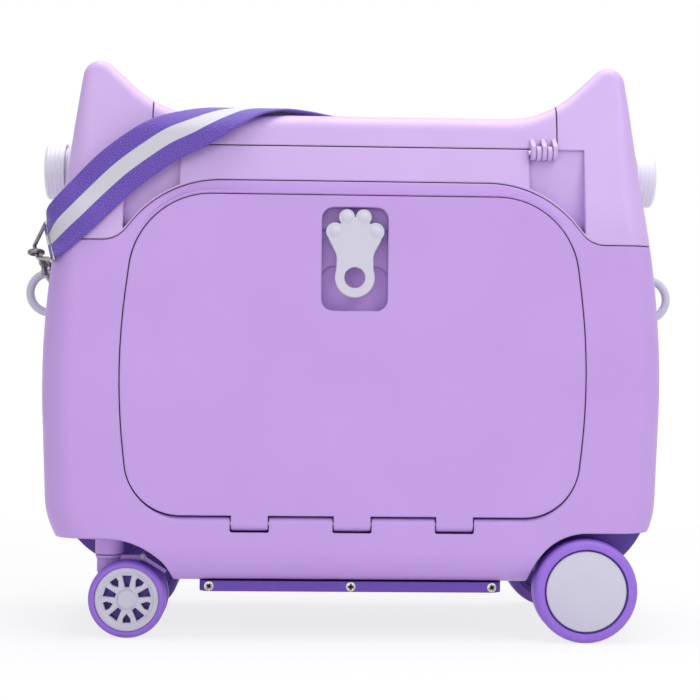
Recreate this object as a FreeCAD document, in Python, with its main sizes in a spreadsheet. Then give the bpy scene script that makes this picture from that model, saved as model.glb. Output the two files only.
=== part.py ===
import FreeCAD, Part
import math
import os
import Sketcher
from FreeCAD import Placement, Rotation, Vector

# Ride-on suitcase for a child: a hard case with a fold-down front door, a hinged seat lid between
# two pairs of ears, twin-wheel swivel casters at one end and two fixed wheels at the other.
# +X is the length (casters at -X), -Y is the front with the door, +Z is up, z = 0 is the floor.

SIZES = [
    # outline of the case seen from the front, as the corners of a rounded polygon
    ("case_bottom", 44.0, "underside of the lower shell"),
    ("foot_half", 231.5, "half length at the bottom corners"),
    ("foot_radius", 65.0, "rounding of the bottom corners"),
    ("belly_half", 238.5, "half length at the widest level"),
    ("belly_height", 225.0, "widest level"),
    ("belly_radius", 600.0, "bow of the ends"),
    ("ear_half", 205.0, "half distance between the ear points"),
    ("ear_height", 454.0, "ear points before rounding"),
    ("ear_radius", 13.0, "rounding of the ear tips"),
    ("saddle_half", 147.0, "half length of the seat before the ears rise"),
    ("seat_height", 400.0, "top of the seat"),
    ("saddle_radius", 75.0, "sweep from seat to ear"),
    # the case seen from its end
    ("case_depth", 200.0, "front to back"),
    ("lean_height", 312.0, "level where front and back begin to lean in"),
    ("lean_angle", 11.0, "lean of the upper front and back"),
    ("lean_radius", 220.0, "bend into the lean"),
    ("edge_round", 26.0, "edge rounding of the lower case"),
    ("ear_round", 9.0, "edge rounding of the ears"),
    ("seat_round", 14.0, "edge rounding of the seat"),
    ("valley_floor", 402.0, "lowest point between the two ears of an end"),
    ("valley_half", 21.0, "half width of the valley at its floor"),
    ("valley_angle", 24.0, "lean of the valley's sides"),
    ("valley_radius", 19.0, "rounding of the valley's floor"),
    ("wall", 3.0, "moulded wall of the case"),
    ("tongue", 1.5, "thickness of the lower shell's locating tongue"),
    ("seam_gap", 0.8, "visible line between the shells"),
    ("seam_low", 302.0, "shell seam at the ends"),
    ("seam_turn_out", 178.7, "outer corner of the seam's S curve"),
    ("seam_turn_in", 142.3, "inner corner of the seam's S curve"),
    ("seam_radius_out", 22.0, "outer bend of the S curve"),
    ("seam_radius_in", 85.0, "inner bend of the S curve"),
    ("seam_band", 11.8, "strip between door and seam"),
    # door
    ("door_top", 336.7, "top edge of the door"),
    ("door_top_half", 162.0, "half width at the top corners"),
    ("door_top_radius", 62.0, "rounding of the top corners"),
    ("door_belly_half", 179.0, "half width at the widest level"),
    ("door_belly_height", 205.0, "widest level of the door"),
    ("door_belly_radius", 500.0, "bow of the door's sides"),
    ("door_foot", 95.2, "bottom edge of the door"),
    ("door_foot_half", 167.0, "half width at the bottom corners"),
    ("door_foot_radius", 42.0, "rounding of the bottom corners"),
    ("door_thickness", 20.0, "outer face to inner face"),
    ("door_skin", 3.0, "moulded wall of the door"),
    ("door_gap", 0.8, "line round the door"),
    ("liner_thickness", 2.5, "inner panels of door and lid"),
    ("jamb_thickness", 2.5, "wall round the door opening"),
    ("stop_width", 6.0, "lip that the door closes against"),
    ("stop_gap", 0.5, "room between door and lip"),
    ("tab_width", 27.8, "hinge tab"),
    ("tab_pitch", 77.3, "hinge tab spacing"),
    ("tab_drop", 11.9, "reach of a hinge tab below the door"),
    ("tab_round", 1.6, "corner of a hinge tab"),
    ("swing_gap", 0.2, "how much less than the line round it the door needs to swing"),
    ("door_axis_rise", 6.2, "hinge rod below the door's bottom edge"),
    ("rod_radius", 2.0, "hinge rod"),
    ("rod_play", 0.06, "running clearance of rods and pins"),
    ("knuckle_radius", 5.3, "hinge knuckles"),
    ("knuckle_gap", 0.5, "side clearance between knuckles"),
    # paw latch
    ("recess_half", 25.0, "half width of the latch recess"),
    ("recess_top", 328.0, "top of the recess"),
    ("recess_bottom", 250.0, "bottom of the recess"),
    ("recess_depth", 12.0, "depth of the recess"),
    ("recess_radius", 9.0, "corners of the recess"),
    ("scoop_top", 284.0, "top of the finger scoop"),
    ("scoop_depth", 15.0, "depth of the finger scoop"),
    ("paw_thickness", 6.0, "latch lever"),
    ("paw_proud", 1.5, "lever standing out of the door"),
    ("paw_pivot", 311.0, "height of the lever's pin"),
    ("paw_ring_height", 275.0, "centre of the finger ring"),
    ("paw_ring_radius", 15.0, "finger ring outside"),
    ("paw_hole_radius", 7.8, "finger hole"),
    ("paw_neck_half", 13.6, "half width of the neck"),
    ("paw_neck_height", 291.5, "level of the neck"),
    ("paw_palm_half", 21.0, "half width of the palm"),
    ("paw_palm_height", 306.0, "level of the palm's corners"),
    ("toe_in_half", 6.3, "offset of the inner toes"),
    ("toe_in_height", 320.4, "height of the inner toes"),
    ("toe_in_radius", 6.0, "inner toes"),
    ("toe_out_half", 15.2, "offset of the outer toes"),
    ("toe_out_height", 309.5, "height of the outer toes"),
    ("toe_out_radius", 6.8, "outer toes"),
    ("bead_radius", 4.2, "raised toe beads"),
    ("bead_height", 1.1, "height of the toe beads"),
    ("latch_pin_radius", 1.25, "pin of the lever"),
    ("bolt_half", 10.0, "half width of the bolt plate"),
    ("bolt_thickness", 2.5, "bolt plate"),
    ("bolt_low", 296.0, "lower end of the bolt plate"),
    ("hook_half", 6.0, "half width of the bolt's hook"),
    ("hook_top", 335.4, "tip of the bolt's hook"),
    ("hook_bite", 5.0, "overlap of hook and keeper"),
    ("keeper_thickness", 1.2, "spring strip of the keeper"),
    ("crank_half", 3.5, "half width of the lever's crank"),
    ("crank_thickness", 4.0, "thickness of the lever's crank"),
    ("spring_radius", 1.15, "latch spring outside"),
    ("spring_bore", 0.7, "latch spring inside"),
    ("spring_length", 8.5, "latch spring at rest"),
    # lid and its hinges
    ("lid_half", 154.0, "half length of the lid opening"),
    ("lid_seam", 375.0, "level of the lid's lower edge"),
    ("lid_gap", 0.8, "line round the lid"),
    ("lid_axis_out", 4.2, "hinge pin in front of the lid's lower edge"),
    ("lid_axis_drop", 3.5, "hinge pin below the seam"),
    ("lid_knuckle_in", 133.0, "inner end of a lid hinge"),
    ("lid_rib", 3.7, "width of one hinge rib"),
    ("lid_rib_gap", 0.45, "gap between hinge ribs"),
    ("pocket_outer", 174.5, "outer wall of the hinge pocket"),
    ("pocket_lip", 2.0, "rim left under the hinge pocket"),
    ("tray_half", 145.0, "half length of the tray under the lid"),
    ("tray_half_width", 70.0, "half width of the tray"),
    ("tray_depth", 46.0, "depth of the tray"),
    ("tray_wall", 2.0, "wall of the tray"),
    ("tray_radius", 18.0, "corners of the tray"),
    # end fittings
    ("knob_height", 362.0, "axis of the end knob"),
    ("knob_radius", 22.5, "end knob"),
    ("knob_seat", 224.5, "flat seat of the knob from the middle"),
    ("knob_room", 1.5, "room round the knob on its seat"),
    ("knob_length", 21.0, "length of the knob"),
    ("knob_screw_radius", 3.0, "screw of the knob"),
    ("loop_height", 264.0, "centre of the strap loop"),
    ("loop_radius", 16.0, "centreline of the strap loop"),
    ("loop_bar", 3.3, "bar radius of the strap loop"),
    ("loop_reach", 262.0, "outer face of the strap loop from the middle"),
    ("loop_plate", 2.5, "foot plate of the strap loop"),
    # wheel housings and underside
    ("arch_left", 77.0, "shell edge over the casters"),
    ("arch_right", 83.5, "shell edge over the fixed wheels"),
    ("housing_wall", 3.0, "wall of the wheel housings"),
    ("runner_half", 115.5, "half length of the bottom runner"),
    ("runner_half_width", 84.0, "half width of the bottom runner"),
    ("runner_bottom", 36.0, "underside of the bottom runner"),
    ("runner_radius", 9.0, "corners of the bottom runner"),
    ("screw_pitch", 108.0, "runner screws from the middle"),
    ("screw_head_radius", 3.6, "screw heads"),
    ("screw_radius", 1.7, "screw shanks"),
    # fixed wheels
    ("wheel_x", 178.0, "axle of the fixed wheels"),
    ("wheel_radius", 39.5, "fixed wheel"),
    ("wheel_rim", 32.0, "rim inside the tyre"),
    ("wheel_width", 24.0, "tyre width"),
    ("wheel_face", 101.0, "outer face of the tyre from the middle"),
    ("wheel_cap", 30.6, "hub cap"),
    ("wheel_dome", 2.6, "bulge of the hub cap"),
    ("wheel_shoulder", 5.0, "rounding of the tyre"),
    ("axle_radius", 4.0, "axle"),
    ("axle_play", 0.08, "running clearance on the axle"),
    ("lug_outer", 73.0, "outer face of the axle lugs"),
    ("lug_width", 12.0, "axle lug"),
    ("lug_radius", 11.0, "axle lug outside"),
    ("carrier_half", 66.0, "half width of the axle carrier"),
    ("washer_gap", 0.4, "end play of the wheels"),
    # casters
    ("caster_x", -185.0, "swivel axis"),
    ("caster_y", 68.0, "swivel axis from the middle"),
    ("caster_trail", 15.0, "wheel axle behind the swivel axis"),
    ("caster_radius", 29.5, "caster wheel"),
    ("caster_rim", 24.6, "rim inside the caster tyre"),
    ("caster_width", 12.5, "caster wheel width"),
    ("caster_core", 11.0, "thickness of the fork between the wheels"),
    ("caster_gap", 0.7, "gap between fork and wheel"),
    ("caster_axle", 3.0, "caster axle radius"),
    ("caster_shoulder", 4.0, "rounding of the caster tyre"),
    ("stem_radius", 5.0, "swivel stem"),
    ("socket_radius", 11.0, "swivel socket outside"),
    ("socket_bottom", 62.5, "lower face of the socket"),
    ("socket_plate", 14.0, "half side of the socket plate"),
    ("socket_plate_thickness", 2.5, "socket plate"),
    ("fork_gap", 0.6, "gap between fork and socket"),
    ("spoke_inner", 9.0, "inner end of the hub windows"),
    ("spoke_outer", 18.0, "outer end of the hub windows"),
    ("window_wide", 7.4, "outer width of a hub window"),
    ("window_narrow", 3.2, "inner width of a hub window"),
    ("brake_length", 21.0, "brake lever"),
    ("brake_half", 11.5, "half width of the brake lever"),
    ("brake_thickness", 3.0, "brake lever blade"),
    ("brake_clear", 1.8, "brake blade off the tyres"),
    ("brake_angle", 32.0, "slope of the brake lever"),
    ("brake_pin", 1.5, "pin of the brake lever"),
    # strap
    ("strap_width", 38.0, "webbing width"),
    ("strap_thickness", 1.6, "webbing thickness"),
    ("strap_lift", 2.0, "webbing off the back of the case"),
    ("hook_wire", 2.2, "wire radius of the snap hooks"),
    ("hook_bend", 6.4, "bend radius of the snap hooks"),
    ("hook_length", 40.0, "shank of the snap hooks"),
    ("hook_play", 0.3, "room between hook and loop"),
    ("buckle_wire", 1.5, "wire radius of the strap's end rings"),
    ("buckle_length", 30.0, "length of the strap's end rings"),
    ("gate_radius", 1.2, "spring gate of the snap hooks"),
]

DOC = FreeCAD.newDocument("ride_on_suitcase")
SHEET = DOC.addObject("Spreadsheet::Sheet", "Sizes")
for row, (name, number, note) in enumerate(SIZES, start=1):
    SHEET.set("A%d" % row, name)
    SHEET.set("B%d" % row, str(number))
    SHEET.setAlias("B%d" % row, name)
    SHEET.set("C%d" % row, note)
DOC.recompute()


class Size:
    """A number together with the sheet expression that gives it."""

    def __init__(self, value, text):
        self.value = float(value)
        self.text = text

    def __add__(self, other):
        other = size(other)
        return Size(self.value + other.value, "(%s + %s)" % (self.text, other.text))

    def __sub__(self, other):
        other = size(other)
        return Size(self.value - other.value, "(%s - %s)" % (self.text, other.text))

    def __mul__(self, other):
        other = size(other)
        return Size(self.value * other.value, "(%s * %s)" % (self.text, other.text))

    def __truediv__(self, other):
        other = size(other)
        return Size(self.value / other.value, "(%s / %s)" % (self.text, other.text))

    def __neg__(self):
        return Size(-self.value, "(0 - %s)" % self.text)

    __radd__ = __add__

    def __rsub__(self, other):
        return size(other) - self

    __rmul__ = __mul__


def size(number):
    """A plain number as a Size."""
    if isinstance(number, Size):
        return number
    return Size(number, "(%.6f)" % number)


def trig(function, angle):
    """sin, cos or tan of an angle in degrees."""
    value = {"sin": math.sin, "cos": math.cos, "tan": math.tan}[function](math.radians(angle.value))
    return Size(value, "%s(%s)" % (function, angle.text))


class Cells:
    """The sheet's cells by alias."""

    def __getattr__(self, name):
        return Size(float(SHEET.get(name)), "Sizes.%s" % name)


S = Cells()
FAR = 400.0
NODES = {}


def bind(obj, prop, value):
    """Set a property, tied to the sheet where the value comes from it."""
    value = size(value)
    obj.setExpression(prop, value.text)


def put(obj, x=0.0, y=0.0, z=0.0, rotation=None):
    """Place an object, with its position tied to the sheet."""
    x, y, z = size(x), size(y), size(z)
    obj.Placement = Placement(Vector(x.value, y.value, z.value), rotation or Rotation())
    for axis, value in (("x", x), ("y", y), ("z", z)):
        obj.setExpression("Placement.Base.%s" % axis, value.text)
    return obj


TURN = {
    "X": Rotation(Vector(0, 1, 0), 90),
    "Y": Rotation(Vector(1, 0, 0), -90),
    "Z": Rotation(),
}
PLANE = {
    "XY": Rotation(),
    "XZ": Rotation(Vector(1, 0, 0), 90),
    "YZ": Rotation(Vector(1, 1, 1), 120),
}
NORMAL = {"XY": Vector(0, 0, 1), "XZ": Vector(0, 1, 0), "YZ": Vector(1, 0, 0)}


def block(x, y, z):
    """A box from pairs of limits."""
    x, y, z = ([size(v) for v in pair] for pair in (x, y, z))
    box = DOC.addObject("Part::Box", "block")
    bind(box, "Length", x[1] - x[0])
    bind(box, "Width", y[1] - y[0])
    bind(box, "Height", z[1] - z[0])
    return put(box, x[0], y[0], z[0])


def rod(axis, radius, start, end, u=0.0, v=0.0):
    """A cylinder along an axis, from start to end, at (u, v) on the other two axes in order."""
    start, end = size(start), size(end)
    cylinder = DOC.addObject("Part::Cylinder", "rod")
    bind(cylinder, "Radius", radius)
    bind(cylinder, "Height", end - start)
    spot = {"X": (start, u, v), "Y": (u, start, v), "Z": (u, v, start)}[axis]
    return put(cylinder, *spot, rotation=TURN[axis])


def ring(axis, major, minor, x, y, z, sweep=360.0, turn=0.0):
    """A torus, or an arc of one, about an axis; turn swings its start about that axis."""
    torus = DOC.addObject("Part::Torus", "ring")
    bind(torus, "Radius1", major)
    bind(torus, "Radius2", minor)
    torus.Angle3 = sweep
    return put(torus, x, y, z, TURN[axis].multiply(Rotation(Vector(0, 0, 1), turn)))


def strut(start, end, radius):
    """A cylinder between two points of space."""
    cylinder = DOC.addObject("Part::Cylinder", "strut")
    bind(cylinder, "Radius", radius)
    cylinder.Height = (end - start).Length
    cylinder.Placement = Placement(start, Rotation(Vector(0, 0, 1), end - start))
    return cylinder


def ball(centre, radius):
    sphere = DOC.addObject("Part::Sphere", "ball")
    bind(sphere, "Radius", radius)
    sphere.Placement = Placement(centre, Rotation())
    return sphere


def fuse(*shapes):
    joined = DOC.addObject("Part::MultiFuse", "fuse")
    joined.Shapes = list(shapes)
    return joined


def cut(base, *tools):
    result = DOC.addObject("Part::Cut", "cut")
    result.Base = base
    result.Tool = tools[0] if len(tools) == 1 else fuse(*tools)
    return result


def common(*shapes):
    result = DOC.addObject("Part::MultiCommon", "common")
    result.Shapes = list(shapes)
    return result


def group(*shapes):
    """Separate solids kept in one object."""
    compound = DOC.addObject("Part::Compound", "group")
    compound.Links = list(shapes)
    return compound


def node(name, obj):
    """Name an object as a finished piece of the suitcase."""
    obj.Label = name
    NODES[name] = obj
    return obj


def fillet_points(corners, index):
    """Start, middle, end and centre of one corner's arc, and whether it turns left."""
    before, here, after = (corners[(index + step) % len(corners)] for step in (-1, 0, 1))
    point = Vector(here[0].value, here[1].value, 0)
    to_before = (Vector(before[0].value, before[1].value, 0) - point).normalize()
    to_after = (Vector(after[0].value, after[1].value, 0) - point).normalize()
    half_angle = to_before.getAngle(to_after) / 2
    reach = here[2].value / math.tan(half_angle)
    middle_way = (to_before + to_after).normalize()
    centre = point + middle_way * (here[2].value / math.sin(half_angle))
    left = to_after.cross(to_before).z > 0
    return point + to_before * reach, point + to_after * reach, centre, left


def draw(sketch, corners):
    """Add one closed, fully constrained rounded polygon of (u, v, radius) corners to a sketch."""
    corners = [tuple(size(v) for v in (list(corner) + [0.0])[:3]) for corner in corners]
    count = len(corners)
    starts, ends, arcs = [], [], {}
    for index, corner in enumerate(corners):
        if corner[2].value > 0:
            start, end, centre, left = fillet_points(corners, index)
            arcs[index] = (centre, left)
        else:
            start = end = Vector(corner[0].value, corner[1].value, 0)
        starts.append(start)
        ends.append(end)
    lines = [
        sketch.addGeometry(Part.LineSegment(ends[i], starts[(i + 1) % count]), False)
        for i in range(count)
    ]
    ties = []
    for index, corner in enumerate(corners):
        before, after = lines[index - 1], lines[index]
        if index in arcs:
            centre, left = arcs[index]
            first, last = (starts[index], ends[index]) if left else (ends[index], starts[index])
            angles = [math.atan2(p.y - centre.y, p.x - centre.x) for p in (first, last)]
            circle = Part.Circle(centre, Vector(0, 0, 1), corner[2].value)
            arc = sketch.addGeometry(Part.ArcOfCircle(circle, *angles), False)
            at_start, at_end = (1, 2) if left else (2, 1)
            sketch.addConstraint(Sketcher.Constraint("Tangent", before, 2, arc, at_start))
            sketch.addConstraint(Sketcher.Constraint("Tangent", arc, at_end, after, 1))
            tie = sketch.addConstraint(Sketcher.Constraint("Radius", arc, corner[2].value))
            ties.append((tie, corner[2]))
            spot = (sketch.addGeometry(Part.Point(Vector(corner[0].value, corner[1].value, 0)), True), 1)
            sketch.addConstraint(Sketcher.Constraint("PointOnObject", spot[0], 1, before))
            sketch.addConstraint(Sketcher.Constraint("PointOnObject", spot[0], 1, after))
        else:
            sketch.addConstraint(Sketcher.Constraint("Coincident", before, 2, after, 1))
            spot = (after, 1)
        for kind, value in (("DistanceX", corner[0]), ("DistanceY", corner[1])):
            tie = sketch.addConstraint(Sketcher.Constraint(kind, -1, 1, spot[0], spot[1], value.value))
            ties.append((tie, value))
    for tie, value in ties:
        sketch.setExpression("Constraints[%d]" % tie, value.text)


def sketch_on(plane, *loops):
    """A free-standing sketch on a base plane."""
    sketch = DOC.addObject("Sketcher::SketchObject", "sketch")
    sketch.Placement = Placement(Vector(), PLANE[plane])
    for loop in loops:
        draw(sketch, loop)
    return sketch


def prism(plane, loop, start, end):
    """A rounded polygon extruded along the plane's normal, from start to end on that axis."""
    start, end = size(start), size(end)
    profile = loop if hasattr(loop, "TypeId") else sketch_on(plane, loop)
    solid = DOC.addObject("Part::Extrusion", "prism")
    solid.Base = profile
    solid.DirMode = "Custom"
    solid.Dir = NORMAL[plane]
    solid.Solid = True
    bind(solid, "LengthFwd", end - start)
    spot = {"XY": (0.0, 0.0, start), "XZ": (0.0, start, 0.0), "YZ": (start, 0.0, 0.0)}[plane]
    put(solid, *spot)
    return solid


def mirrored_loop(half):
    """Corners given for +X, completed with their mirror images."""
    return half + [(-size(c[0]),) + tuple(c[1:]) for c in reversed(half)]


def new_body(name):
    body = DOC.addObject("PartDesign::Body", name)
    return node(name, body)


def plane_of(body, role):
    for feature in body.Origin.OriginFeatures:
        if feature.Role == role:
            return feature
    raise ValueError("no %s in %s" % (role, body.Label))


def body_sketch(body, role, *loops):
    """A sketch on one of a body's own base planes."""
    sketch = body.newObject("Sketcher::SketchObject", "%s_sketch" % body.Label)
    sketch.AttachmentSupport = [(plane_of(body, role), "")]
    sketch.MapMode = "FlatFace"
    for loop in loops:
        draw(sketch, loop)
    return sketch


def turned(name, axis, profile):
    """A body turned about one of its own axes; profile corners are (radius, place along the axis)."""
    body = new_body(name)
    if axis == "X":
        sketch = body_sketch(body, "XY_Plane", [(c[1], c[0]) + tuple(c[2:]) for c in reversed(profile)])
        line = "H_Axis"
    elif axis == "Y":
        sketch = body_sketch(body, "XY_Plane", profile)
        line = "V_Axis"
    else:
        sketch = body_sketch(body, "XZ_Plane", profile)
        line = "V_Axis"
    turn = body.newObject("PartDesign::Revolution", "%s_turn" % name)
    turn.Profile = sketch
    turn.ReferenceAxis = (sketch, [line])
    turn.Angle = 360.0
    body.Tip = turn
    return body


HALF_DEPTH = S.case_depth / 2
SEAM_TOP = S.door_top + S.seam_band
CASE_OUTLINE = sketch_on("XZ", mirrored_loop([
    (S.foot_half, S.case_bottom, S.foot_radius),
    (S.belly_half, S.belly_height, S.belly_radius),
    (S.ear_half, S.ear_height, S.ear_radius),
    (S.saddle_half, S.seat_height, S.saddle_radius),
]))


def front_at(height, inset=0.0):
    """How far the leaning front lies behind the middle plane at a height, as a positive number."""
    return HALF_DEPTH - inset - (size(height) - S.lean_height) * trig("tan", S.lean_angle)


def edge_radius(point, inset):
    """Rounding of the case's front and back edges at a point: large low down, small on the ears."""
    low, high = S.belly_height.value, S.ear_height.value
    if point.z < low:
        radius = S.edge_round.value
    elif abs(point.x) > (S.ear_half.value + S.saddle_half.value) / 2 + 20:
        share = min(1.0, (point.z - low) / (high - 35.0 - low))
        radius = S.edge_round.value + share * (S.ear_round.value - S.edge_round.value)
    elif abs(point.x) < S.saddle_half.value:
        radius = S.seat_round.value
    else:
        radius = S.ear_round.value
    return radius - inset


def valley(inset):
    """The hollow between the two ears of an end, running the whole length above the seat."""
    rise = S.ear_height - S.valley_floor + 20
    spread = rise * trig("tan", S.valley_angle)
    half = S.valley_half + inset
    floor = S.valley_floor - inset
    return prism("YZ", [
        (-half - spread, floor + rise), (-half, floor, S.valley_radius),
        (half, floor, S.valley_radius), (half + spread, floor + rise),
    ], -FAR, FAR)


def case_form(inset):
    """The closed outer form of the case, drawn in by inset all round."""
    outline = CASE_OUTLINE
    if inset.value:
        outline = DOC.addObject("Part::Offset2D", "case_outline_inset")
        outline.Source = CASE_OUTLINE
        bind(outline, "Value", -inset)
    length = prism("XZ", outline, -HALF_DEPTH - 50, HALF_DEPTH + 50)
    top = S.ear_height + 20
    floor = S.case_bottom - 20
    side = HALF_DEPTH - inset
    crown = front_at(top, inset)
    width = prism("YZ", [
        (-side, floor), (side, floor), (side, S.lean_height, S.lean_radius), (crown, top),
        (-crown, top), (-side, S.lean_height, S.lean_radius),
    ], -FAR, FAR)
    rough = common(length, width)
    DOC.recompute()
    rounded = DOC.addObject("Part::Fillet", "case_form")
    rounded.Base = rough
    chosen = []
    for number, edge in enumerate(rough.Shape.Edges, start=1):
        ends = [edge.valueAt(edge.FirstParameter), edge.valueAt(edge.LastParameter)]
        if min(abs(p.y) for p in ends) < crown.value - 1 or ends[0].y * ends[1].y < 0:
            continue
        across = abs(ends[0].x + ends[1].x) < 1e-3 and abs(ends[0].z - ends[1].z) < 1e-3
        if across and S.belly_height.value < ends[0].z < S.seat_height.value - inset.value - 1:
            continue
        chosen.append((number, edge_radius(ends[0], inset.value), edge_radius(ends[1], inset.value)))
    rounded.Edges = chosen
    return cut(rounded, valley(inset))


def above_seam(lift):
    """Everything above the S-shaped seam between the shells, with the seam raised by lift."""
    return prism("XZ", [
        (-FAR, S.seam_low + lift),
        (-S.seam_turn_out, S.seam_low + lift, S.seam_radius_out),
        (-S.seam_turn_in, SEAM_TOP + lift, S.seam_radius_in),
        (S.seam_turn_in, SEAM_TOP + lift, S.seam_radius_in),
        (S.seam_turn_out, S.seam_low + lift, S.seam_radius_out),
        (FAR, S.seam_low + lift),
        (FAR, S.ear_height + 60),
        (-FAR, S.ear_height + 60),
    ], -HALF_DEPTH - 60, HALF_DEPTH + 60)


def door_loop(grow):
    """The door's outline, grown by a gap."""
    return mirrored_loop([
        (S.door_foot_half + grow, S.door_foot - grow, S.door_foot_radius + grow),
        (S.door_belly_half + grow, S.door_belly_height, S.door_belly_radius),
        (S.door_top_half + grow, S.door_top + grow, S.door_top_radius + grow),
    ])


OUTER = case_form(size(0.0))
INNER = case_form(S.wall)
MIDDLE = case_form(S.wall - S.tongue)
SHELL = cut(OUTER, INNER)

FRONT = -HALF_DEPTH
DOOR_BACK = FRONT + S.door_thickness
TAB_RADIUS = S.tab_drop - S.door_axis_rise
DOOR_AXIS_Y = FRONT + TAB_RADIUS
DOOR_AXIS_Z = S.door_foot - S.door_axis_rise
TAB_CENTRES = (-S.tab_pitch, size(0.0), S.tab_pitch)
LID_EDGE = -front_at(S.lid_seam)
LID_AXIS_Y = LID_EDGE - S.lid_axis_out
LID_AXIS_Z = S.lid_seam - S.lid_axis_drop
POCKET_PLANE = LID_AXIS_Y + S.knuckle_radius + 0.8


def left_arch(grow):
    """Space under the shell's edge over the casters, grown upwards."""
    return [
        (-FAR, -20.0), (-FAR, S.arch_left + grow),
        (S.caster_x + 21, S.arch_left + grow, 60.0),
        (S.caster_x + 46 + grow, S.arch_left - 20 + grow, 30.0),
        (S.caster_x + 55 + grow, S.case_bottom - 14), (S.caster_x + 55 + grow, -20.0),
    ]


def right_arch(grow):
    """Space round and behind the fixed wheels, grown upwards."""
    rise = S.arch_right - S.wheel_radius + grow
    return [
        (S.wheel_x - rise, -20.0), (S.wheel_x - rise, S.arch_right + grow, rise),
        (FAR, S.arch_right + grow), (FAR, -20.0),
    ]


DEEP = (-HALF_DEPTH - 60, HALF_DEPTH + 60)


def tab_space(grow):
    """The three hinge tabs below the door, grown by a gap, as one solid each."""
    low = S.door_foot - S.tab_drop - grow
    half = S.tab_width / 2 + grow
    return [prism("XZ", [
        (centre - half, low, S.tab_round), (centre + half, low, S.tab_round),
        (centre + half, S.door_foot + 3), (centre - half, S.door_foot + 3),
    ], FRONT - 5, FRONT + 40) for centre in TAB_CENTRES]


def lower_shell():
    """Tub of the case with the door opening, the jamb round it and the wheel arches."""
    below = cut(SHELL, above_seam(-S.seam_gap))
    tongue = cut(cut(MIDDLE, INNER), above_seam(size(0.0)))
    tongue = common(tongue, block((-FAR, FAR), DEEP, (S.seam_low - 12, FAR)))
    opening = prism("XZ", door_loop(S.door_gap), FRONT - 20, DOOR_BACK + S.stop_gap)
    jamb = cut(
        prism("XZ", door_loop(S.door_gap + S.jamb_thickness), FRONT + S.wall / 2,
              DOOR_BACK + S.stop_gap + S.jamb_thickness),
        prism("XZ", door_loop(S.door_gap - S.stop_width), FRONT - 20, DOOR_BACK + 40),
    )
    knuckles = []
    reach = S.tab_pitch + S.tab_width / 2
    spans = [
        (-reach - 14, -reach - S.knuckle_gap),
        (-S.tab_pitch + S.tab_width / 2 + S.knuckle_gap, -S.tab_width / 2 - S.knuckle_gap),
        (S.tab_width / 2 + S.knuckle_gap, S.tab_pitch - S.tab_width / 2 - S.knuckle_gap),
        (reach + S.knuckle_gap, reach + 14),
    ]
    for start, end in spans:
        knuckles.append(rod("X", S.knuckle_radius, start, end, DOOR_AXIS_Y, DOOR_AXIS_Z))
        knuckles.append(block((start, end), (FRONT + S.wall / 2, DOOR_AXIS_Y),
                              (DOOR_AXIS_Z - S.knuckle_radius, DOOR_AXIS_Z + 3)))
    swing_face = sketch_on("XZ", door_loop(S.door_gap - S.swing_gap))
    bind(swing_face, "Placement.Base.y", DOOR_AXIS_Y)
    swing = DOC.addObject("Part::Revolution", "door_swing")
    swing.Source = swing_face
    swing.Axis = Vector(1, 0, 0)
    bind(swing, "Base.y", DOOR_AXIS_Y)
    bind(swing, "Base.z", DOOR_AXIS_Z)
    swing.Angle = 90.0
    swing.Solid = True
    keeper_room = block((-S.bolt_half - 4, S.bolt_half + 4), (DOOR_BACK + 0.1, DOOR_BACK + 20),
                        (S.door_top - 16, S.door_top + S.door_gap))
    solid = fuse(below, tongue, cut(jamb, keeper_room))
    solid = cut(solid, opening, swing, prism("XZ", left_arch(size(0.0)), *DEEP),
                prism("XZ", right_arch(size(0.0)), *DEEP))
    solid = fuse(solid, *knuckles)
    tabs = tab_space(S.door_gap)
    bore = rod("X", S.rod_radius, -reach - 13, reach + 13, DOOR_AXIS_Y, DOOR_AXIS_Z)
    return node("lower_shell", cut(solid, bore, *tabs))


def hinge_ribs():
    """Spans of one lid hinge along +X: lid ribs and frame ribs by turns, lid ribs at both ends."""
    spans = []
    step = S.lid_rib + S.lid_rib_gap
    for number in range(5):
        start = S.lid_knuckle_in + step * number
        spans.append((start, start + S.lid_rib))
    return spans[0::2], spans[1::2]


def at_both_ends(span):
    """A span of x and its mirror image."""
    start, end = span
    return [(start, end), (-end, -start)]


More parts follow.
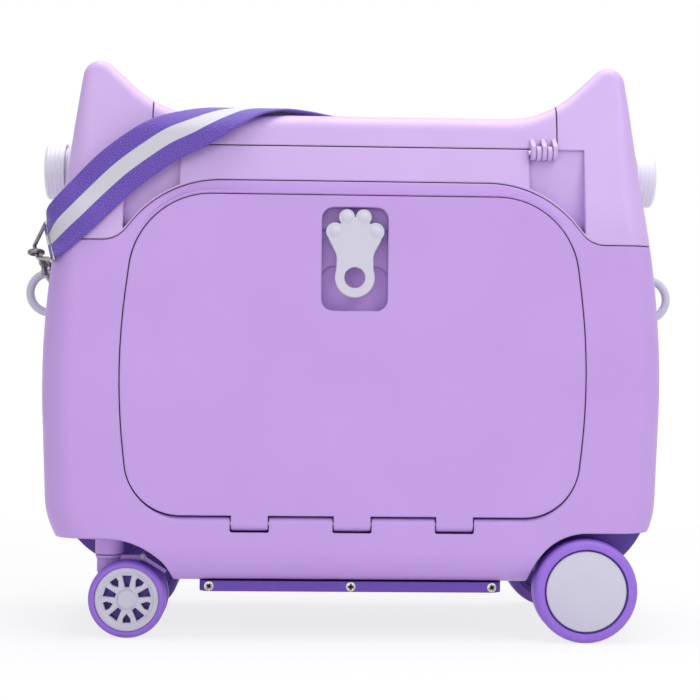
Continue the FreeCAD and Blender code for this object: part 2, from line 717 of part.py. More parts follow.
def upper_frame():
    """Top frame with the ears, the seat opening, the hinge pockets and the knob seats."""
    shell = common(SHELL, above_seam(size(0.0)))
    inner_face = S.lid_half + S.lid_gap / 2
    cheeks = [common(OUTER, block(span, DEEP, (S.lid_seam - 4, FAR + 100)))
              for span in at_both_ends((inner_face, inner_face + S.wall))]
    pocket_in = S.lid_knuckle_in - S.knuckle_gap
    level = (S.seam_low - 5, S.lid_seam - S.lid_gap / 2)
    blocks = []
    pockets = []
    for span in at_both_ends((pocket_in - S.wall, S.pocket_outer + S.wall)):
        blocks.append(common(OUTER, above_seam(size(0.0)),
                             block(span, (FRONT - 1, POCKET_PLANE + S.wall), level)))
    for span in at_both_ends((pocket_in, S.pocket_outer)):
        pockets.append(common(above_seam(S.pocket_lip), block(span, (FRONT - 30, POCKET_PLANE), level)))
    lid_space = block((-inner_face, inner_face), DEEP, (S.lid_seam - S.lid_gap / 2, FAR + 100))
    knuckles = []
    for rib in hinge_ribs()[1]:
        for span in at_both_ends(rib):
            knuckles.append(rod("X", S.knuckle_radius, span[0], span[1], LID_AXIS_Y, LID_AXIS_Z))
            knuckles.append(block(span, (LID_AXIS_Y, POCKET_PLANE + 1),
                                  (LID_AXIS_Z - S.knuckle_radius, LID_AXIS_Z)))
    pins = [rod("X", S.rod_radius, span[0], span[1], LID_AXIS_Y, LID_AXIS_Z)
            for span in at_both_ends((pocket_in - 1, S.lid_half))]
    seats = [rod("X", S.knob_radius + S.knob_room, span[0], span[1], 0.0, S.knob_height)
             for span in at_both_ends((S.knob_seat - 12, S.knob_seat))]
    rooms = [rod("X", S.knob_radius + S.knob_room, span[0], span[1], 0.0, S.knob_height)
             for span in at_both_ends((S.knob_seat, S.knob_seat + S.knob_length * 3))]
    holes = [rod("X", S.knob_screw_radius, span[0], span[1], 0.0, S.knob_height)
             for span in at_both_ends((S.knob_seat - 20, S.knob_seat + 1))]
    solid = cut(fuse(shell, *(cheeks + blocks)), lid_space)
    solid = cut(solid, *pockets)
    solid = fuse(solid, *(knuckles + seats))
    return node("upper_frame", cut(solid, *(pins + holes + rooms)))


def upper_tray():
    """Shallow tray hung in the frame under the lid."""
    top = S.lid_seam - S.lid_gap / 2
    floor = top - S.tray_depth
    brim = common(INNER, block((-S.lid_half - S.lid_gap / 2, S.lid_half + S.lid_gap / 2), DEEP,
                               (top - S.tray_wall, top)))
    back = POCKET_PLANE + S.wall
    for span in at_both_ends((S.lid_knuckle_in - S.knuckle_gap - S.wall, S.pocket_outer + S.wall)):
        brim = cut(brim, block(span, (FRONT, back), (floor, top + 1)))

    def rounded(inset, low, high):
        x = S.tray_half - inset
        y = S.tray_half_width - inset
        r = S.tray_radius - inset
        return prism("XY", [(-x, -y, r), (x, -y, r), (x, y, r), (-x, y, r)], low, high)

    body = fuse(brim, rounded(size(0.0), floor, top))
    return node("upper_tray", cut(body, rounded(S.tray_wall, floor + S.tray_wall, top + 5)))


def lid():
    """Seat lid with its end walls and hinge ribs, and the panel that closes it underneath."""
    face = S.lid_half - S.lid_gap / 2
    low = S.lid_seam + S.lid_gap / 2
    full = common(OUTER, block((-face, face), DEEP, (low, FAR + 100)))
    hollow = common(INNER, block((-face + S.wall, face - S.wall), DEEP, (low - 5, FAR + 100)))
    ribs = []
    top = S.lid_seam + 9
    for rib in hinge_ribs()[0]:
        for span in at_both_ends(rib):
            ribs.append(rod("X", S.knuckle_radius, span[0], span[1], LID_AXIS_Y, LID_AXIS_Z))
            ribs.append(prism("YZ", [
                (LID_AXIS_Y - S.knuckle_radius, LID_AXIS_Z),
                (LID_AXIS_Y + S.knuckle_radius * 0.35, LID_AXIS_Z),
                (-front_at(low) + 0.2, low + 0.4),
                (-front_at(top) + 1.5, top),
                (LID_AXIS_Y - S.knuckle_radius, LID_AXIS_Z + 5, 3.0),
            ], span[0], span[1]))
    start = S.lid_knuckle_in - 0.5
    bores = [rod("X", S.rod_radius + S.rod_play, span[0], span[1], LID_AXIS_Y, LID_AXIS_Z)
             for span in at_both_ends((start, S.lid_half + 1))]
    node("top_lid", cut(fuse(cut(full, hollow), *ribs), *bores))
    panel = common(INNER, block((-face + S.wall, face - S.wall), DEEP,
                                (low + 0.6, low + 0.6 + S.liner_thickness)))
    node("lid_liner", panel)
    pins = [rod("X", S.rod_radius, span[0], span[1], LID_AXIS_Y, LID_AXIS_Z)
            for span in at_both_ends((S.lid_knuckle_in - S.knuckle_gap - 1, face - 0.5))]
    node("lid_hinge_pins", group(*pins))


def recess_loop(grow, top, bottom):
    half = S.recess_half + grow
    radius = S.recess_radius + grow
    return [(-half, bottom - grow, radius), (half, bottom - grow, radius),
            (half, top + grow, radius), (-half, top + grow, radius)]


BOLT_FRONT = FRONT + S.recess_depth + 2.0
BOLT_BACK = BOLT_FRONT + S.bolt_thickness
PAW_FRONT = FRONT - S.paw_proud
PAW_BACK = PAW_FRONT + S.paw_thickness
PAW_AXIS_Y = PAW_FRONT + S.paw_thickness * 0.7


def door():
    """Door panel with its latch recess, inner panel and hinge rod."""
    liner_front = DOOR_BACK - S.liner_thickness
    slab = prism("XZ", door_loop(size(0.0)), FRONT, liner_front)
    hollow = prism("XZ", door_loop(-S.door_skin), FRONT + S.door_skin, liner_front + 5)
    wall = 2.0
    well = prism("XZ", recess_loop(size(wall), S.recess_top, S.recess_bottom),
                 FRONT + 1, FRONT + S.recess_depth + wall)
    scoop_well = prism("XZ", recess_loop(size(wall), S.scoop_top, S.recess_bottom),
                       FRONT + 1, FRONT + S.scoop_depth + wall)
    well_room = prism("XZ", recess_loop(size(0.0), S.recess_top, S.recess_bottom),
                      FRONT - 5, FRONT + S.recess_depth)
    scoop_room = prism("XZ", recess_loop(size(0.0), S.scoop_top, S.recess_bottom),
                       FRONT - 5, FRONT + S.scoop_depth)
    slot = block((-S.crank_half - 0.6, S.crank_half + 0.6),
                 (FRONT + S.recess_depth - 1, FRONT + S.recess_depth + 5),
                 (S.paw_pivot - 10, S.paw_pivot + S.crank_thickness / 2 + 2))
    tabs = []
    for centre in TAB_CENTRES:
        span = (centre - S.tab_width / 2, centre + S.tab_width / 2)
        low = S.door_foot - S.tab_drop
        outline = prism("XZ", [
            (span[0], low, S.tab_round), (span[1], low, S.tab_round),
            (span[1], S.door_foot + 2), (span[0], S.door_foot + 2),
        ], FRONT, FRONT + TAB_RADIUS * 2)
        tabs.append(common(outline, fuse(
            rod("X", TAB_RADIUS, span[0], span[1], DOOR_AXIS_Y, DOOR_AXIS_Z),
            block(span, (FRONT, DOOR_AXIS_Y), (DOOR_AXIS_Z, S.door_foot + 2)))))
    lug = [block(span, (FRONT + S.door_skin / 2, FRONT + S.recess_depth), (S.paw_pivot - 5, S.paw_pivot + 5))
           for span in at_both_ends((S.recess_half - 0.1, S.recess_half + 4))]
    pin = rod("X", S.latch_pin_radius, -S.recess_half - 2, S.recess_half + 2, PAW_AXIS_Y, S.paw_pivot)
    reach = S.tab_pitch + S.tab_width
    bore = rod("X", S.rod_radius + S.rod_play, -reach, reach, DOOR_AXIS_Y, DOOR_AXIS_Z)
    shelf_top = S.bolt_low - S.spring_length
    shelf = block((-6.0, 6.0), (BOLT_FRONT - 0.4, liner_front), (shelf_top - 3, shelf_top))
    solid = fuse(cut(slab, hollow), well, scoop_well, shelf, *(tabs + lug))
    node("front_door", cut(solid, well_room, scoop_room, slot, pin, bore))
    hook_slot = block((-S.hook_half - 0.8, S.hook_half + 0.8), (liner_front - 1, DOOR_BACK + 1),
                      (S.hook_top - 22, S.hook_top - 6))
    node("door_liner", cut(prism("XZ", door_loop(size(0.0)), liner_front, DOOR_BACK), hook_slot))
    half_rod = S.tab_pitch + S.tab_width / 2 + 12.5
    node("door_hinge_rod", rod("X", S.rod_radius, -half_rod, half_rod, DOOR_AXIS_Y, DOOR_AXIS_Z))


def latch():
    """Paw-shaped lever, its pin, the bolt that it draws down, the bolt's spring and the keeper."""
    parts = [rod("Y", S.paw_ring_radius, PAW_FRONT, PAW_BACK, 0.0, S.paw_ring_height)]
    parts.append(prism("XZ", mirrored_loop([
        (S.paw_neck_half + 0.6, S.paw_ring_height + 3), (S.paw_neck_half, S.paw_neck_height, 12.0),
        (S.paw_palm_half, S.paw_palm_height, 4.0), (S.toe_in_half, S.toe_in_height, 3.0),
    ]), PAW_FRONT, PAW_BACK))
    for side in (-1, 1):
        parts.append(rod("Y", S.toe_in_radius, PAW_FRONT, PAW_BACK, S.toe_in_half * side, S.toe_in_height))
        parts.append(rod("Y", S.toe_out_radius, PAW_FRONT, PAW_BACK, S.toe_out_half * side, S.toe_out_height))
    crank_tip = BOLT_BACK + 0.5
    parts.append(block((-S.crank_half, S.crank_half), (PAW_BACK - 1, crank_tip),
                       (S.paw_pivot - S.crank_thickness / 2, S.paw_pivot + S.crank_thickness / 2)))
    beads = []
    ball = (S.bead_radius * S.bead_radius + S.bead_height * S.bead_height) / (S.bead_height * 2)
    spots = [(S.toe_in_half, S.toe_in_height), (S.toe_out_half, S.toe_out_height)]
    for x, z in spots:
        for side in (-1, 1):
            bead = DOC.addObject("Part::Sphere", "bead")
            bind(bead, "Radius", ball)
            put(bead, x * side, PAW_FRONT - S.bead_height + ball, z)
            beads.append(common(bead, rod("Y", S.bead_radius, PAW_FRONT - 3, PAW_FRONT + 1, x * side, z)))
    hole = rod("Y", S.paw_hole_radius, PAW_FRONT - 5, PAW_BACK + 5, 0.0, S.paw_ring_height)
    bore = rod("X", S.latch_pin_radius + S.rod_play, -S.recess_half, S.recess_half, PAW_AXIS_Y, S.paw_pivot)
    node("paw_latch", cut(fuse(*(parts + beads)), hole, bore))
    half_pin = S.recess_half + 1.8
    node("latch_pin", rod("X", S.latch_pin_radius, -half_pin, half_pin, PAW_AXIS_Y, S.paw_pivot))

    window_low = S.paw_pivot - S.crank_thickness / 2 - 1.6
    plate = block((-S.bolt_half, S.bolt_half), (BOLT_FRONT + 0.1, BOLT_BACK), (S.bolt_low, S.hook_top - 9))
    arm = block((-S.hook_half, S.hook_half), (BOLT_BACK - 1, DOOR_BACK + S.stop_gap + 6.5),
                (S.hook_top - 13, S.hook_top - 9))
    tip = block((-S.hook_half, S.hook_half), (DOOR_BACK + S.stop_gap + 3.5, DOOR_BACK + S.stop_gap + 6.5),
                (S.hook_top - 13, S.hook_top))
    window = block((-S.crank_half - 1, S.crank_half + 1), (BOLT_FRONT - 1, BOLT_BACK + 1),
                   (window_low, S.paw_pivot + S.crank_thickness / 2 + 1.4))
    node("latch_bolt", cut(fuse(plate, arm, tip), window))
    spring_y = (BOLT_FRONT + BOLT_BACK) / 2
    spring = cut(rod("Z", S.spring_radius, S.bolt_low - S.spring_length, S.bolt_low, 0.0, spring_y),
                 rod("Z", S.spring_bore, S.bolt_low - S.spring_length - 1, S.bolt_low + 1, 0.0, spring_y))
    node("latch_spring", spring)

    leaf_front = DOOR_BACK + S.stop_gap + 0.6
    leaf_back = leaf_front + S.keeper_thickness
    jamb_back = DOOR_BACK + S.stop_gap + S.jamb_thickness
    lintel = S.door_top + S.door_gap
    shelf = lintel + S.jamb_thickness
    strip = S.keeper_thickness
    node("latch_keeper", prism("YZ", [
        (jamb_back - 11, shelf), (jamb_back, shelf), (jamb_back, lintel), (leaf_front, lintel),
        (leaf_front, S.hook_top - S.hook_bite), (leaf_back, S.hook_top - S.hook_bite),
        (leaf_back, lintel - strip), (jamb_back + strip, lintel - strip),
        (jamb_back + strip, shelf + strip), (jamb_back - 11, shelf + strip),
    ], -S.bolt_half + 1, S.bolt_half - 1))


def end_fittings():
    """White knobs on the ends, their screws and the loops for the strap."""
    screws = []
    for word, side in (("left", -1), ("right", 1)):
        rim = 3.0
        knob = turned("knob_%s" % word, "X", [
            (S.knob_screw_radius, 0.0), (S.knob_radius - 1.5, 0.0, 1.0), (S.knob_radius - 1.5, 3.0),
            (S.knob_radius - 3.0, 3.0), (S.knob_radius - 3.0, 5.0), (S.knob_radius, 5.0, 1.0),
            (S.knob_radius, S.knob_length, rim), (0.0, S.knob_length + 0.8), (0.0, S.knob_length - 8),
            (S.knob_screw_radius, S.knob_length - 8),
        ])
        put(knob, S.knob_seat * side, 0.0, S.knob_height, Rotation(Vector(0, 0, 1), 0 if side > 0 else 180))
        start, end = S.knob_seat - 16, S.knob_seat + S.knob_length - 9
        span = (start, end) if side > 0 else (-end, -start)
        head = (start - 3, start + 4) if side > 0 else (-start - 4, -start + 3)
        screws.append(fuse(rod("X", S.knob_screw_radius, span[0], span[1], 0.0, S.knob_height),
                           rod("X", S.knob_screw_radius * 2, head[0], head[1], 0.0, S.knob_height)))
        centre = (S.loop_reach - S.loop_radius - S.loop_bar) * side
        bow = ring("Y", S.loop_radius, S.loop_bar, centre, 0.0, S.loop_height, 180.0,
                   -90.0 if side > 0 else 90.0)
        inner = S.belly_half * 0.8 * side
        legs = []
        for up in (-1, 1):
            ends = (inner, centre) if side > 0 else (centre, inner)
            legs.append(rod("X", S.loop_bar, ends[0], ends[1], 0.0, S.loop_height + S.loop_radius * up))
        wall = common(SHELL, block((100.0, FAR) if side > 0 else (-FAR, -100.0), (-10.0, 10.0),
                                   (S.loop_height - S.loop_radius - 9, S.loop_height + S.loop_radius + 9)))
        foot = put(group(wall), S.loop_plate * side)
        node("strap_loop_%s" % word, cut(fuse(bow, foot, *legs), OUTER))
    node("knob_screws", group(*screws))


def housings():
    """Dark underside: bottom runner, caster housing, wheel housing with the axle carrier, screws."""
    runner = prism("XY", [(x, y, S.runner_radius) for x, y in (
        (-S.runner_half, -S.runner_half_width), (S.runner_half, -S.runner_half_width),
        (S.runner_half, S.runner_half_width), (-S.runner_half, S.runner_half_width))],
        S.runner_bottom, S.case_bottom)
    heads, seats = [], []
    for x in (-S.screw_pitch, size(0.0), S.screw_pitch):
        for side in (-1, 1):
            y = S.runner_half_width * side
            ends = (y - 9, y + 0.9) if side > 0 else (y - 0.9, y + 9)
            head = (y, y + 0.9) if side > 0 else (y - 0.9, y)
            level = (S.runner_bottom + S.case_bottom) / 2
            seats.append(rod("Y", S.screw_radius, ends[0], ends[1], x, level))
            heads.append(fuse(rod("Y", S.screw_radius, ends[0], ends[1], x, level),
                              rod("Y", S.screw_head_radius, head[0], head[1], x, level)))
    node("bottom_runner", cut(runner, *seats))
    node("runner_screws", group(*heads))

    skin = cut(prism("XZ", left_arch(S.housing_wall), -HALF_DEPTH, HALF_DEPTH),
               prism("XZ", left_arch(size(0.0)), *DEEP))
    skin = common(skin, INNER)
    spine = common(MIDDLE, prism("XZ", left_arch(size(0.0)), -15.0, 15.0),
                   block((-FAR, S.caster_x + 10), DEEP, (S.case_bottom, FAR)))
    sockets = [rod("Z", S.stem_radius + 2.5, S.arch_left - 1, S.arch_left + 10, S.caster_x, S.caster_y * side)
               for side in (-1, 1)]
    node("caster_housing", cut(fuse(skin, spine), *sockets))

    skin = cut(prism("XZ", right_arch(S.housing_wall), -HALF_DEPTH, HALF_DEPTH),
               prism("XZ", right_arch(size(0.0)), *DEEP))
    skin = common(skin, INNER)
    carrier = common(MIDDLE, block((S.wheel_x - 30, FAR), (-S.carrier_half, S.carrier_half),
                                   (S.case_bottom, S.arch_right)), prism("XZ", right_arch(size(0.0)), *DEEP))
    lugs = []
    for side in (-1, 1):
        inside = S.lug_outer - S.lug_width
        ends = (inside, S.lug_outer) if side > 0 else (-S.lug_outer, -inside)
        lugs.append(rod("Y", S.lug_radius, ends[0], ends[1], S.wheel_x, S.wheel_radius))
        lugs.append(block((S.wheel_x - S.lug_radius, S.wheel_x + S.lug_radius), ends,
                          (S.wheel_radius, S.arch_right + 1)))
    axle = rod("Y", S.axle_radius, -S.wheel_face, S.wheel_face, S.wheel_x, S.wheel_radius)
    node("wheel_housing", cut(fuse(skin, carrier, *lugs), axle))


def fixed_wheels():
    """Axle and the two fixed wheels, each a tyre, a rim and a hub cap."""
    inner = S.wheel_face - S.wheel_width
    half_axle = inner + S.wheel_width - 6
    node("rear_axle", rod("Y", S.axle_radius, -half_axle, half_axle, S.wheel_x, S.wheel_radius))
    for word, side in (("front", -1), ("back", 1)):
        turn = Rotation() if side > 0 else Rotation(Vector(0, 0, 1), 180)
        width = S.wheel_width
        tyre = turned("tyre_%s" % word, "Y", [
            (S.wheel_rim, 0.0), (S.wheel_radius, 0.0, S.wheel_shoulder),
            (S.wheel_radius, width, S.wheel_shoulder), (S.wheel_rim, width),
        ])
        rim = turned("rim_%s" % word, "Y", [
            (S.axle_radius + S.axle_play, S.washer_gap - (S.wheel_face - S.wheel_width - S.lug_outer)),
            (9.0, S.washer_gap - (S.wheel_face - S.wheel_width - S.lug_outer)),
            (9.0, 8.0), (S.wheel_rim - 4, 8.0), (S.wheel_rim - 4, 1.0), (S.wheel_rim, 1.0),
            (S.wheel_rim, width - 2), (S.wheel_cap + 0.4, width - 2), (S.wheel_cap + 0.4, width - 5),
            (S.axle_radius + S.axle_play, width - 5),
        ])
        cap = turned("hub_cap_%s" % word, "Y", [
            (0.0, width - 5), (S.wheel_cap, width - 5), (S.wheel_cap, width - 0.6, 1.2),
            (S.wheel_cap * 0.45, width + S.wheel_dome * 0.75, 60.0), (0.0, width + S.wheel_dome * 0.75),
        ])
        for piece in (tyre, rim, cap):
            put(piece, S.wheel_x, inner * side, S.wheel_radius, turn)


def casters():
    """Two swivel casters, each with socket, stem, fork, axle, two wheels and a brake lever."""
    axle_x = S.caster_x + S.caster_trail
    axle_z = S.caster_radius
    half_core = S.caster_core / 2
    near = half_core + S.caster_gap
    pin_reach = S.caster_radius + S.brake_clear + S.brake_thickness / 2
    blade_low = S.caster_radius + S.brake_clear
    for word, side in (("front", -1), ("back", 1)):
        y = S.caster_y * side
        plate = prism("XY", [(S.caster_x + dx * S.socket_plate, y + dy * S.socket_plate, 5.0)
                             for dx, dy in ((-1, -1), (1, -1), (1, 1), (-1, 1))],
                      S.arch_left - S.socket_plate_thickness, S.arch_left)
        collar = fuse(plate, rod("Z", S.socket_radius, S.socket_bottom, S.arch_left, S.caster_x, y))
        socket = fuse(common(collar, prism("XZ", left_arch(size(0.0)), *DEEP)),
                      rod("Z", S.stem_radius + 2.5, S.socket_bottom, S.arch_left + 10, S.caster_x, y))
        bore = rod("Z", S.stem_radius + S.rod_play, S.socket_bottom - 1, S.arch_left + 8, S.caster_x, y)
        node("caster_socket_%s" % word, cut(socket, bore))
        top = S.socket_bottom - S.fork_gap
        node("caster_stem_%s" % word, rod("Z", S.stem_radius, top - 9, S.arch_left + 7, S.caster_x, y))
        crown_low = S.caster_radius * 2 + 0.6
        hub = S.caster_radius * 0.42
        web = prism("XZ", [
            (S.caster_x - 9, top, 1.0), (S.caster_x - 9, top - 12, 5.0),
            (axle_x - hub, axle_z - hub * 0.7, 7.0), (axle_x + hub, axle_z - hub * 0.7, 7.0),
            (axle_x + hub * 1.2, axle_z + 8, 6.0), (axle_x + 15.5, top - 5.5, 2.0), (axle_x + 13.5, top, 1.0),
        ], y - half_core, y + half_core)
        crown = rod("Z", S.socket_radius - 0.4, crown_low, top, S.caster_x, y)
        stem_hole = rod("Z", S.stem_radius, top - 9, top + 1, S.caster_x, y)
        axle_hole = rod("Y", S.caster_axle, y - 20, y + 20, axle_x, axle_z)
        direction = S.brake_angle
        pin_x = axle_x + pin_reach * trig("sin", direction) - S.brake_length * 0.34 * trig("cos", direction)
        pin_z = axle_z + pin_reach * trig("cos", direction) + S.brake_length * 0.34 * trig("sin", direction)
        pin_hole = rod("Y", S.brake_pin, y - 20, y + 20, pin_x, pin_z)
        node("caster_fork_%s" % word, cut(fuse(web, crown), stem_hole, axle_hole, pin_hole))
        half_axle = near + S.caster_width - 2.5
        node("caster_axle_%s" % word, rod("Y", S.caster_axle, y - half_axle, y + half_axle, axle_x, axle_z))
        blade = DOC.addObject("Part::Box", "blade")
        bind(blade, "Length", S.brake_length)
        bind(blade, "Width", S.brake_half * 2)
        bind(blade, "Height", S.brake_thickness)
        blade_x = axle_x + blade_low * trig("sin", direction) - S.brake_length * 0.34 * trig("cos", direction)
        blade_z = axle_z + blade_low * trig("cos", direction) + S.brake_length * 0.34 * trig("sin", direction)
        put(blade, blade_x, y - S.brake_half, blade_z, Rotation(Vector(0, 1, 0), S.brake_angle.value))
        bind(blade, "Placement.Rotation.Angle", S.brake_angle)
        barrel = rod("Y", S.brake_thickness / 2 + 1.2, y - S.brake_half, y + S.brake_half, pin_x, pin_z)
        room = prism("XZ", [
            (axle_x - 40, 0.0), (axle_x + 60, 0.0), (axle_x + 60, top + 30), (axle_x - 40, top + 30),
        ], y - half_core - S.caster_gap / 2, y + half_core + S.caster_gap / 2)
        core_room = common(room, rod("Y", pin_reach + 40, y - 30, y + 30, axle_x, axle_z))
        lever = cut(fuse(blade, barrel), core_room,
                    rod("Y", S.brake_pin + S.rod_play, y - 20, y + 20, pin_x, pin_z))
        bridge = DOC.addObject("Part::Box", "bridge")
        bind(bridge, "Length", S.brake_length * 0.3)
        bind(bridge, "Width", S.brake_half * 2)
        bind(bridge, "Height", S.brake_thickness)
        bridge_start = S.brake_length * 0.7
        put(bridge, blade_x + bridge_start * trig("cos", direction), y - S.brake_half,
            blade_z - bridge_start * trig("sin", direction), Rotation(Vector(0, 1, 0), S.brake_angle.value))
        bind(bridge, "Placement.Rotation.Angle", S.brake_angle)
        node("brake_lever_%s" % word, fuse(lever, bridge))
        node("brake_pin_%s" % word, rod("Y", S.brake_pin, y - S.brake_half, y + S.brake_half, pin_x, pin_z))
        for place, way in (("near", -1), ("far", 1)):
            wheel = "%s_%s" % (word, place)
            turn = Rotation() if way > 0 else Rotation(Vector(0, 0, 1), 180)
            tyre = turned("caster_tyre_%s" % wheel, "Y", [
                (S.caster_rim, 0.0), (S.caster_radius, 0.0, 2.0),
                (S.caster_radius, S.caster_width, S.caster_shoulder), (S.caster_rim, S.caster_width),
            ])
            hub_body = turned("caster_hub_%s" % wheel, "Y", [
                (S.caster_axle + S.axle_play, 0.0), (S.spoke_inner - 1.5, 0.0), (S.spoke_inner - 1.5, 5.0),
                (S.spoke_outer + 2.5, 5.0), (S.spoke_outer + 2.5, 1.0), (S.caster_rim, 1.0),
                (S.caster_rim, S.caster_width - 1.0, 1.0), (S.spoke_outer + 3.0, S.caster_width - 1.0),
                (S.spoke_outer + 1.0, S.caster_width - 2.5), (S.spoke_inner - 1.0, S.caster_width - 2.5),
                (S.spoke_inner - 2.5, S.caster_width - 0.8, 1.0), (0.0, S.caster_width - 0.8),
                (0.0, S.caster_width - 2.4), (S.caster_axle + S.axle_play, S.caster_width - 2.4),
            ])
            hub_windows(hub_body)
            for piece in (tyre, hub_body):
                put(piece, axle_x, y + near * way, axle_z, turn)


def hub_windows(body):
    """Ten wedge windows through the hub's web, wide and pointed ones by turns."""
    wide, narrow = S.window_wide / 2, S.window_narrow / 2
    shapes = (
        ([(-narrow, S.spoke_inner), (narrow, S.spoke_inner),
          (wide, S.spoke_outer), (-wide, S.spoke_outer)], 0.0),
        ([(0.0, S.spoke_inner + 2), (wide * 0.8, S.spoke_outer - 3), (wide * 0.8, S.spoke_outer),
          (-wide * 0.8, S.spoke_outer), (-wide * 0.8, S.spoke_outer - 3)], 36.0),
    )
    for loop, lead in shapes:
        sketch = body.newObject("Sketcher::SketchObject", "window_sketch")
        sketch.AttachmentSupport = [(plane_of(body, "XZ_Plane"), "")]
        sketch.MapMode = "FlatFace"
        sketch.AttachmentOffset = Placement(Vector(), Rotation(Vector(0, 0, 1), lead))
        draw(sketch, loop)
        pocket = body.newObject("PartDesign::Pocket", "window")
        pocket.Profile = sketch
        pocket.Midplane = True
        bind(pocket, "Length", S.caster_width * 4)
        DOC.recompute()
        pattern = body.newObject("PartDesign::PolarPattern", "windows")
        pattern.Originals = [pocket]
        pattern.Axis = (sketch, ["N_Axis"])
        pattern.Angle = 360.0
        pattern.Occurrences = 5
        body.Tip = pattern
        DOC.recompute()


def strap_half(side, offsets):
    """Half of the webbing's centreline, from the end ring to the middle of the lid.

    Each point comes with the direction that faces away from the case. side is -1 for the half that
    lies over the front, 1 for the back, which is the same turned half a turn about the upright axis.
    """
    top = S.seat_height.value
    tilt = math.radians(S.lean_angle.value)
    half = S.belly_half.value
    points = [
        (Vector(9.4 - half, -89.4, 301.5), Vector(-0.85, -0.5, 0.15)),
        (Vector(18.5 - half, -97.2, 312), Vector(-0.35, -0.93, 0.1)),
        (Vector(30 - half, -100.6, 323), Vector(-0.12, -0.98, 0.12)),
    ]
    for (x, z), offset in zip(((-196, 336), (-177, 354), (-157, 369), (-140, 380), (-128, 386.5)), offsets):
        y = -front_at(z).value - offset
        points.append((Vector(x, y, z), Vector(0, -math.cos(tilt), math.sin(tilt))))
    edge = -front_at(top).value
    points += [
        (Vector(-116, edge - 9.5 if side < 0 else edge - 5.0, top - 7.5), Vector(0, -0.9, 0.43)),
        (Vector(-102, edge - 2, top - 1.0), Vector(-0.05, -0.62, 0.78)),
        (Vector(-90, edge + 8, top + 3.0), Vector(-0.05, -0.3, 0.95)),
        (Vector(-74, edge + 20, top + 4.6), Vector(0, -0.1, 0.99)),
        (Vector(-54, edge + 36, top + 4.4), Vector(0, 0, 1)),
        (Vector(-30, edge + 57, top + 3.0), Vector(0, 0, 1)),
    ]
    if side > 0:
        points = [(Vector(-p.x, -p.y, p.z), Vector(-f.x, -f.y, f.z)) for p, f in reversed(points)]
    return points


def bent_wire(radius, bend, shank, nose):
    """Wire of a snap hook in one piece: straight shank, half-round bend and short nose."""
    path = Part.Wire([
        Part.LineSegment(Vector(0, -bend, shank), Vector(0, -bend, 0)).toShape(),
        Part.Arc(Vector(0, -bend, 0), Vector(0, 0, -bend), Vector(0, bend, 0)).toShape(),
        Part.LineSegment(Vector(0, bend, 0), Vector(0, bend, nose)).toShape(),
    ])
    section = Part.Wire(Part.makeCircle(radius, Vector(0, -bend, shank), Vector(0, 0, -1)))
    wire = DOC.addObject("Part::Feature", "hook_wire")
    wire.Shape = path.makePipeShell([section], True, False)
    return wire


